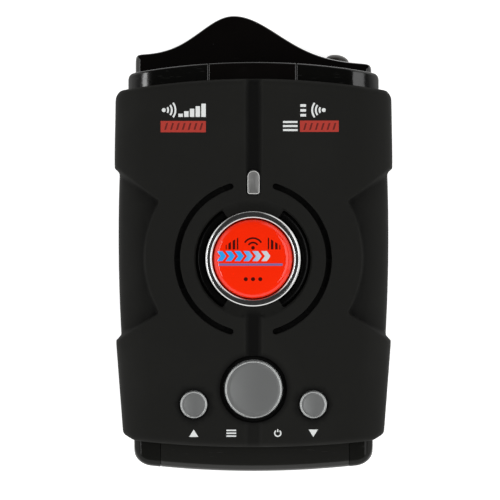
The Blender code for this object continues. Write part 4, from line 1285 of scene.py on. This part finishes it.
def red_resin(at, tint):
    """A printed disc under a poured clear dome: the print is matt, the dome glassy with a few bubbles."""
    tone = (0.45 * near_place(at, HUB)[2].rise(8.9, 9.9) + 0.12 * at.noise(0.25, 2.0)).least(1.0)
    ground = tone.tinted(tint, 0.62)
    bubbles = specks(at, 0.05, 0.6)
    return {
        "Base Color": bubbles.mix(emblem(at, ground), shade(tint, 1.2)),
        "Roughness": 0.42 + 0.1 * at.noise(3.0, 2.0),
        "Specular IOR Level": 0.02,
        "Coat Weight": 0.8,
        "Coat Roughness": 0.035,
        "Normal": at.noise(0.3, 1.0).bump(0.008),
    }


def key_metal(at, tint):
    """Spun metal: rings about each key's own middle, soft wear, and a smoother rim painted lighter as a
    highlight.
    """
    menu, up, down = (near_place(at, key)[2] for key in (MENU, UP, DOWN))
    radius = menu.least(up.least(down))
    # painted highlight: where the rim tilts away from level the base colour is doubled and the roughness
    # lowered
    edge = level_share(at).rise(0.96, 0.75)
    along = radius * 21.0 + 1.5 * at.noise(0.5, 2.0)
    lines = along.of("SINE") * 0.5 + 0.5
    streaks = radius.node("TexNoise", {"W": radius, "Scale": 6.0, "Detail": 4.0}, noise_dimensions="1D")
    tone = (0.45 * streaks + 0.25 * lines + 0.3 * smudges(at)).least(1.0)
    return {
        "Base Color": edge.mix(tone.tinted(tint, 0.85, 1.1), shade(tint, 2.0)),
        "Metallic": 1.0,
        "Roughness": 0.34 + 0.08 * streaks - 0.16 * edge,
        "Normal": (lines * 0.5 + streaks).bump(0.002),
    }


def light_guide(at, tint):
    """Frosted acrylic: pale, with fine frost, and a painted highlight on its sloped rim."""
    frost = at.noise(4.0, 3.0)
    # painted highlight: the rim's sloped faces get five and a half times the base colour
    rim = level_share(at).rise(0.97, 0.8)
    face = (0.6 * frost + 0.4 * at.noise(0.8, 2.0)).tinted(tint, 1.25)
    return {
        "Base Color": rim.mix(face, shade(tint, 5.5)),
        "Roughness": 0.26 + 0.12 * frost,
        "IOR": ACRYLIC_IOR,
        "Normal": frost.bump(0.006),
    }


def screen(at, tint):
    """Acoustic cloth over a polished rim: a plain weave outside, gloss where the inner slots look on it."""
    x, y, radius = near_place(at, HUB)
    pitch = 2 * math.pi / 0.42
    weave = (x * pitch).of("SINE") * (y * pitch).of("SINE") * 0.5 + 0.5
    polished = (abs(radius - 12.9) - 1.9).rise(0.1, -0.1)
    return {
        "Base Color": (weave * 0.6 * (1 - polished)).tinted(tint, 1.6, 0.8),
        "Roughness": 0.75 - 0.5 * polished,
        "Specular IOR Level": 0.15,
        "Normal": (weave * (1 - polished)).bump(0.05),
    }


def rubber(at, tint):
    """Moulded silicone: matt, finely pitted, with lint."""
    pits = at.noise(3.0, 3.0)
    lint = (0.5 * at.noise(0.5, 3.0) + specks(at, 0.1, 0.8)).least(1.0)
    return {
        "Base Color": lint.tinted(tint, 2.0),
        "Roughness": 0.72 + 0.12 * pits,
        "Specular IOR Level": 0.3,
        "Normal": pits.bump(0.03),
    }


def ink(at, tint):
    """Pad-printed ink: slightly uneven film with pinholes."""
    film = at.noise(2.2, 3.0)
    return {
        "Base Color": (film * 0.5 + 0.5 * specks(at, 0.15, 2.5)).tinted(tint, 0.72),
        "Roughness": 0.5 + 0.15 * film,
        "Specular IOR Level": 0.3,
        "Normal": film.bump(0.004),
    }


def label(at, tint):
    """Satin foil: a thin printed frame and a few blank blocks, brushed lengthways."""
    half, centre = half_middle("rating_label")
    x, y, _ = at.moved(offset=tuple(-centre)).parts()
    to_edge = (half[0] - abs(x)).least(half[1] - abs(y))
    frame_line = (abs(to_edge - 1.4) - 0.12).rise(0.04, -0.04)
    rows = abs((y / 4.6).of("FRACT") - 0.5) - 0.16
    blocks = rows.rise(0.03, -0.03) * to_edge.rise(2.6, 2.7) * (abs(abs(x) - 9.5) - 6.5).rise(0.05, -0.05)
    brushed = at.moved(scale=(0.2, 8.0, 1.0)).noise(1.0, 3.0)
    printed = frame_line.most(blocks * 0.35)
    return {
        "Base Color": printed.mix(brushed.tinted(tint, 0.8), (0.03, 0.03, 0.032, 1)),
        "Metallic": 0.7,
        "Roughness": 0.38 + 0.1 * brushed,
        "Normal": brushed.bump(0.004),
    }


def board(at, tint):
    """Solder mask over copper: tracks show as raised lines of a lighter green."""
    tracks = at.cells(0.45, feature="DISTANCE_TO_EDGE").rise(0.06, 0.03)
    return {
        "Base Color": (0.5 * tracks + 0.3 * at.noise(0.3, 2.0)).tinted(tint, 2.4),
        "Roughness": 0.32 + 0.1 * at.noise(2.0, 2.0),
        "Normal": tracks.bump(0.03),
    }


def chip(at, tint):
    """Moulded epoxy: dull, with a fine grain."""
    grain = at.noise(6.0, 3.0)
    return {
        "Base Color": (grain * 0.5).tinted(tint, 2.0),
        "Roughness": 0.6 + 0.15 * grain,
        "Normal": grain.bump(0.01),
    }


def metal(at, tint):
    """Plated or cast metal: cloudy, with rolling marks along Y."""
    cloud, marks = at.noise(0.4, 4.0), at.moved(scale=(5.0, 0.3, 1.0)).noise(1.0, 2.0)
    return {
        "Base Color": (0.5 * cloud + 0.4 * marks).tinted(tint, 0.7),
        "Metallic": 1.0,
        "Roughness": 0.32 + 0.12 * cloud,
        "Normal": marks.bump(0.004),
    }


def paper(at, tint):
    """Pressed paper: fibres felted in all directions."""
    fibres = at.noise(1.6, 6.0, 0.7)
    return {
        "Base Color": fibres.tinted(tint, 2.0),
        "Roughness": 0.85 + 0.1 * fibres,
        "Normal": fibres.bump(0.05),
    }


def floor(at, tint):
    """Pale light table with a barely visible tooth: it is lit from below, which thins the shadows on it."""
    tooth = at.noise(0.8, 4.0)
    return {
        "Base Color": tooth.tinted(tint, 0.985),
        "Roughness": 0.9,
        "Specular IOR Level": 0.1,
        "Emission Color": (1.0, 1.0, 1.0, 1.0),
        "Emission Strength": bpy.context.scene.detector_studio.floor_glow,
    }


# each finish's recipe, and the colour property that it takes
FINISHES = {
    "soft_black": (soft_black, "case_colour"),
    "gloss_black": (gloss_black, "gloss_colour"),
    "rear_gloss": (rear_gloss, "rear_colour"),
    "smoke_lens": (smoke_lens, "smoke_colour"),
    "display_smoke": (display_smoke, "rear_colour"),
    "clear_lens": (clear_lens, "eye_colour"),
    "chrome": (chrome, "chrome_colour"),
    "red_resin": (red_resin, "badge_colour"),
    "key_metal": (key_metal, "key_colour"),
    "light_guide": (light_guide, "light_colour"),
    "screen": (screen, "gloss_colour"),
    "rubber": (rubber, "rubber_colour"),
    "white_ink": (ink, "white_colour"),
    "red_ink": (ink, "bar_colour"),
    "dark_ink": (ink, "tick_colour"),
    "label": (label, "metal_colour"),
    "board": (board, "board_colour"),
    "chip": (chip, "rubber_colour"),
    "steel": (metal, "metal_colour"),
    "paper": (paper, "rubber_colour"),
    "floor": (floor, "floor_colour"),
}


def finish(name):
    """A finish's material, made at its first use. Recipes get Object coordinates in millimetres."""
    title = f"{name}_finish"
    if title in bpy.data.materials:
        return bpy.data.materials[title]
    recipe, colour = FINISHES[name]
    made = bpy.data.materials.new(title)
    made.use_nodes = True
    made.node_tree.nodes.clear()
    tree = Wire(made.node_tree)
    at = tree.node("TexCoord", out="Object").moved(scale=(1 / MM,) * 3)
    shader = tree.node("BsdfPrincipled", recipe(at, getattr(bpy.context.scene.detector_finish, colour)))
    tree.node("OutputMaterial", {"Surface": shader})
    return made


# finish of the carried-over frame nodes, by words in their names; any other is moulded like a chip
CARRIED = {
    "board": ["board"],
    "steel": ["shield", "horn", "screw", "can", "speaker_frame", "magnet", "coil", "capacitor"],
    "paper": ["cone"],
    "smoke_lens": ["lens", "window"],
    "gloss_black": ["module"],
}


def finish_carried_nodes():
    """Give each frame node its procedural finish. Its mesh stays as it is."""
    for node, obj in sorted(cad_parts.items()):
        looks = [look for look, words in CARRIED.items() if any(word in node for word in words)]
        if not obj.material_slots:
            obj.data.materials.append(None)
        for place in obj.material_slots:
            place.material = finish([*looks, "chip"][0])


# ---- Studio ----


def sky(studio):
    """Surroundings: dark overhead, a bright band with a gap in front and a dim strip at the right, and a
    pale foot."""
    world = bpy.data.worlds.new("studio_surroundings")
    world.use_nodes = True
    world.node_tree.nodes.clear()
    tree = Wire(world.node_tree)
    x, y, z = tree.node("TexCoord", out="Generated").parts()
    turn = y.of("ARCTAN2", x) * (180 / math.pi)
    gap = (abs(turn - 102.0) - 27.0).rise(12.0, -6.0)
    seam = (abs(turn + 20.0) - 4.0).rise(3.0, -3.0)
    open_sky = (1 - 0.95 * gap) * (1 - 0.6 * seam)
    band = z.rise(0.1, 0.3) * z.rise(0.86, 0.7)
    foot = z.rise(0.35, 0.15)
    level = band * open_sky * studio.band_strength + foot * studio.foot_strength + studio.overhead_strength
    light = tree.node("Background", {"Color": (1.0, 1.0, 0.985, 1), "Strength": level})
    tree.node("OutputWorld", {"Surface": light})
    bpy.context.scene.world = world


def soft_box(name, tilt_deg, turn_deg, distance, sides, strength):
    """A rectangular lamp that looks at the object from tilt degrees off the vertical."""
    light = bpy.data.lights.new(name, "AREA")
    light.shape = "RECTANGLE"
    light.size, light.size_y = sides
    light.energy = strength * math.pi * sides[0] * sides[1]
    tilt, turn = math.radians(tilt_deg), math.radians(turn_deg)
    reach = Matrix.Rotation(turn, 4, "Z") @ Matrix.Rotation(tilt, 4, "Y")
    linked(name, light).matrix_world = reach @ Matrix.Translation((0, 0, distance))


def build_stage():
    """Surroundings, two soft boxes, the floor as one square, and the camera, which looks straight down."""
    scene = bpy.context.scene
    studio = scene.detector_studio
    scene.view_settings.view_transform = "Standard"
    sky(studio)
    soft_box("right_box", 22.0, 0.0, 1.2, (0.34, 0.62), studio.box_strength)
    soft_box("left_strip", 27.6, 180.0, 1.2, (0.1, 0.62), studio.strip_strength)
    half = studio.floor_size / 2
    mesh = bpy.data.meshes.new("studio_floor")
    mesh.from_pydata([(x, y, 0) for x, y in bar(-half, half, -half, half)], [], [(0, 1, 2, 3)])
    mesh.materials.append(finish("floor"))
    linked("studio_floor", mesh)
    camera = bpy.data.cameras.new("camera")
    camera.sensor_width, camera.lens = 36.0, studio.lens
    camera.clip_start, camera.clip_end = 0.05, 50.0
    scene.camera = linked("camera", camera)
    scene.camera.location = (studio.camera_x, studio.camera_y, studio.camera_height)


# ---- Add-on ----


def number(name, description, default, **settings):
    """A number that a user would change."""
    return bpy.props.FloatProperty(name=name, description=description, default=default, **settings)


def length(name, description, default):
    """A length in metres."""
    return number(name, description, default, unit="LENGTH", min=0.0)


def colour(name, description, default):
    """A colour in linear red, green and blue."""
    settings = {"subtype": "COLOR", "size": 3, "min": 0.0, "max": 1.0}
    return bpy.props.FloatVectorProperty(name=name, description=description, default=default, **settings)


def amount(name, description, default):
    """A strength of light."""
    return number(name, description, default, subtype="FACTOR", min=0.0)


class DetectorFinish(bpy.types.PropertyGroup):
    """Colours of the finishes."""

    case_colour: colour("Case", "Soft-touch black of the two case halves", (0.0091, 0.0091, 0.0083))
    gloss_colour: colour("Gloss", "Polished black of the brow and the sound slots", (0.0022, 0.0022, 0.002))
    rear_colour: colour("Rear frame", "Black of the rear frame and display", (0.0085, 0.0085, 0.0078))
    smoke_colour: colour("Smoke lens", "Infrared-clear acrylic of the nose", (0.0012, 0.0009, 0.0008))
    eye_colour: colour("Eye", "Round eye in the nose", (0.016, 0.014, 0.012))
    chrome_colour: colour("Chrome", "Plated ring round the badge", (0.62, 0.62, 0.62))
    badge_colour: colour("Badge", "Red ground of the badge", (0.96, 0.022, 0.001))
    key_colour: colour("Keys", "Spun metal of the three keys", (0.325, 0.332, 0.332))
    light_colour: colour("Light", "Frosted light guide", (0.12, 0.12, 0.118))
    rubber_colour: colour("Rubber", "Grip pads and black mouldings inside", (0.012, 0.012, 0.012))
    white_colour: colour("White print", "Signs on the case", (0.78, 0.8, 0.8))
    bar_colour: colour("Red print", "Bars beside the signs", (0.42, 0.032, 0.02))
    tick_colour: colour("Dark print", "Ticks on the red bars", (0.13, 0.006, 0.003))
    metal_colour: colour("Metal", "Steel, zinc and foil", (0.5, 0.5, 0.49))
    board_colour: colour("Boards", "Solder mask", (0.008, 0.06, 0.02))
    floor_colour: colour("Floor", "Light table under the detector", (0.9, 0.9, 0.895))


class DetectorSizes(bpy.types.PropertyGroup):
    """Sizes of the fine shapes that the looks add to the frame."""

    mesh_spacing: length("Mesh spacing", "Distance between points on the open faces of the case", 0.00115)
    dish_depth: length("Dish depth", "How deep the dish round the badge is", 0.0007)
    groove_depth: length("Groove depth", "How deep the groove down the middle is", 0.0008)
    well_depth: length("Well depth", "How deep the well round the middle key is", 0.0014)
    lens_edge: length("Lens edge", "Radius of the nose lens's top edge", 0.0014)
    joint_width: length("Joint width", "Gap beside the two windows", 0.0001)
    frame_edge: length("Frame edge", "Radius of the rear frame's shoulder", 0.0021)
    key_rim: length("Key rim", "Radius of the rim round a key's face", 0.00024)
    ink_thickness: length("Ink thickness", "How far a printed mark stands proud", 0.000012)


class DetectorStudio(bpy.types.PropertyGroup):
    """Camera, floor and light."""

    lens: number("Lens", "Focal length", 435.0, unit="CAMERA", min=1.0)
    camera_x: number("Camera X", "Aim across", -0.00087, unit="LENGTH")
    camera_y: number("Camera Y", "Aim along", -0.00174, unit="LENGTH")
    camera_height: length("Camera height", "Height of the camera over the floor", 1.525)
    floor_size: length("Floor", "Side of the square floor", 12.0)
    band_strength: amount("Band", "Light of the bright band round the detector", 1.5)
    foot_strength: amount("Foot", "Light near the horizon", 0.9)
    overhead_strength: amount("Overhead", "Light from straight above", 0.03)
    box_strength: amount("Right soft box", "Light of the wide soft box", 2.6)
    strip_strength: amount("Left strip", "Light of the narrow soft box", 8.5)
    floor_glow: amount("Floor glow", "Light that comes up through the light table", 0.65)


class DETECTOR_OT_upper_case(bpy.types.Operator):
    """Mould the upper case half, with its grips, groove, dish, slots and key holes"""

    bl_idname = "detector.upper_case"
    bl_label = "Upper Case"

    def execute(self, context):
        build_upper_case()
        return {"FINISHED"}


class DETECTOR_OT_lower_case(bpy.types.Operator):
    """Mould the lower case half, with its pad and label pockets and screw wells"""

    bl_idname = "detector.lower_case"
    bl_label = "Lower Case"

    def execute(self, context):
        build_lower_case()
        return {"FINISHED"}


class DETECTOR_OT_nose_lens(bpy.types.Operator):
    """Form the bell-shaped nose lens"""

    bl_idname = "detector.nose_lens"
    bl_label = "Nose Lens"

    def execute(self, context):
        build_nose_lens()
        return {"FINISHED"}


class DETECTOR_OT_brow(bpy.types.Operator):
    """Loft the brow over the nose lens, and its window"""

    bl_idname = "detector.brow"
    bl_label = "Brow"

    def execute(self, context):
        build_brow()
        return {"FINISHED"}


class DETECTOR_OT_eye(bpy.types.Operator):
    """Turn the round eye and its collar"""

    bl_idname = "detector.eye"
    bl_label = "Eye"

    def execute(self, context):
        build_eye()
        return {"FINISHED"}


class DETECTOR_OT_rear_frame(bpy.types.Operator):
    """Loft the rear frame and the display's window in it"""

    bl_idname = "detector.rear_frame"
    bl_label = "Rear Frame"

    def execute(self, context):
        build_rear_frame()
        return {"FINISHED"}


class DETECTOR_OT_badge(bpy.types.Operator):
    """Turn the chrome ring and the poured badge"""

    bl_idname = "detector.badge"
    bl_label = "Badge"

    def execute(self, context):
        build_badge()
        return {"FINISHED"}


class DETECTOR_OT_light(bpy.types.Operator):
    """Form the light guide"""

    bl_idname = "detector.light"
    bl_label = "Light Guide"

    def execute(self, context):
        build_light()
        return {"FINISHED"}


class DETECTOR_OT_keys(bpy.types.Operator):
    """Turn the three keys"""

    bl_idname = "detector.keys"
    bl_label = "Keys"

    def execute(self, context):
        build_keys()
        return {"FINISHED"}


class DETECTOR_OT_speaker_screen(bpy.types.Operator):
    """Form the screen under the sound slots"""

    bl_idname = "detector.speaker_screen"
    bl_label = "Speaker Screen"

    def execute(self, context):
        build_speaker_screen()
        return {"FINISHED"}


class DETECTOR_OT_marks(bpy.types.Operator):
    """Print the signs on the case"""

    bl_idname = "detector.marks"
    bl_label = "Printed Marks"

    def execute(self, context):
        build_marks()
        return {"FINISHED"}


class DETECTOR_OT_base_pieces(bpy.types.Operator):
    """Form the ribbed pads and the blank label under the case"""

    bl_idname = "detector.base_pieces"
    bl_label = "Pads and Label"

    def execute(self, context):
        build_pads()
        build_label()
        return {"FINISHED"}


class DETECTOR_OT_jack(bpy.types.Operator):
    """Turn the power socket's lining and pin"""

    bl_idname = "detector.jack"
    bl_label = "Power Socket"

    def execute(self, context):
        build_jack()
        return {"FINISHED"}


class DETECTOR_OT_inner_pieces(bpy.types.Operator):
    """Give the frame's own pieces their finishes"""

    bl_idname = "detector.inner_pieces"
    bl_label = "Inner Pieces"

    def execute(self, context):
        finish_carried_nodes()
        return {"FINISHED"}


class DETECTOR_OT_stage(bpy.types.Operator):
    """Set up the floor, light and camera"""

    bl_idname = "detector.stage"
    bl_label = "Stage"

    def execute(self, context):
        build_stage()
        return {"FINISHED"}


OPERATORS = (
    DETECTOR_OT_stage,
    DETECTOR_OT_upper_case,
    DETECTOR_OT_lower_case,
    DETECTOR_OT_nose_lens,
    DETECTOR_OT_brow,
    DETECTOR_OT_eye,
    DETECTOR_OT_rear_frame,
    DETECTOR_OT_badge,
    DETECTOR_OT_light,
    DETECTOR_OT_keys,
    DETECTOR_OT_speaker_screen,
    DETECTOR_OT_marks,
    DETECTOR_OT_base_pieces,
    DETECTOR_OT_jack,
    DETECTOR_OT_inner_pieces,
)


class DETECTOR_PT_panel(bpy.types.Panel):
    """Builds the detector piece by piece"""

    bl_idname = "DETECTOR_PT_panel"
    bl_label = "Radar Detector"
    bl_space_type = "VIEW_3D"
    bl_region_type = "UI"
    bl_category = "Detector"

    def draw(self, context):
        for operator in OPERATORS:
            self.layout.operator(operator.bl_idname)
        scene = context.scene
        for group in (scene.detector_sizes, scene.detector_finish, scene.detector_studio):
            box = self.layout.box()
            for name in group.__annotations__:
                box.prop(group, name)


CLASSES = (DetectorFinish, DetectorSizes, DetectorStudio, *OPERATORS, DETECTOR_PT_panel)


def register():
    for made in CLASSES:
        bpy.utils.register_class(made)
    bpy.types.Scene.detector_finish = bpy.props.PointerProperty(type=DetectorFinish)
    bpy.types.Scene.detector_sizes = bpy.props.PointerProperty(type=DetectorSizes)
    bpy.types.Scene.detector_studio = bpy.props.PointerProperty(type=DetectorStudio)


def unregister():
    del bpy.types.Scene.detector_studio
    del bpy.types.Scene.detector_sizes
    del bpy.types.Scene.detector_finish
    for made in reversed(CLASSES):
        bpy.utils.unregister_class(made)


def main():
    """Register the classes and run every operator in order."""
    register()
    for operator in OPERATORS:
        getattr(bpy.ops.detector, operator.bl_idname.split(".")[1])()
    bpy.context.view_layer.update()


if __name__ == "__main__":
    main()
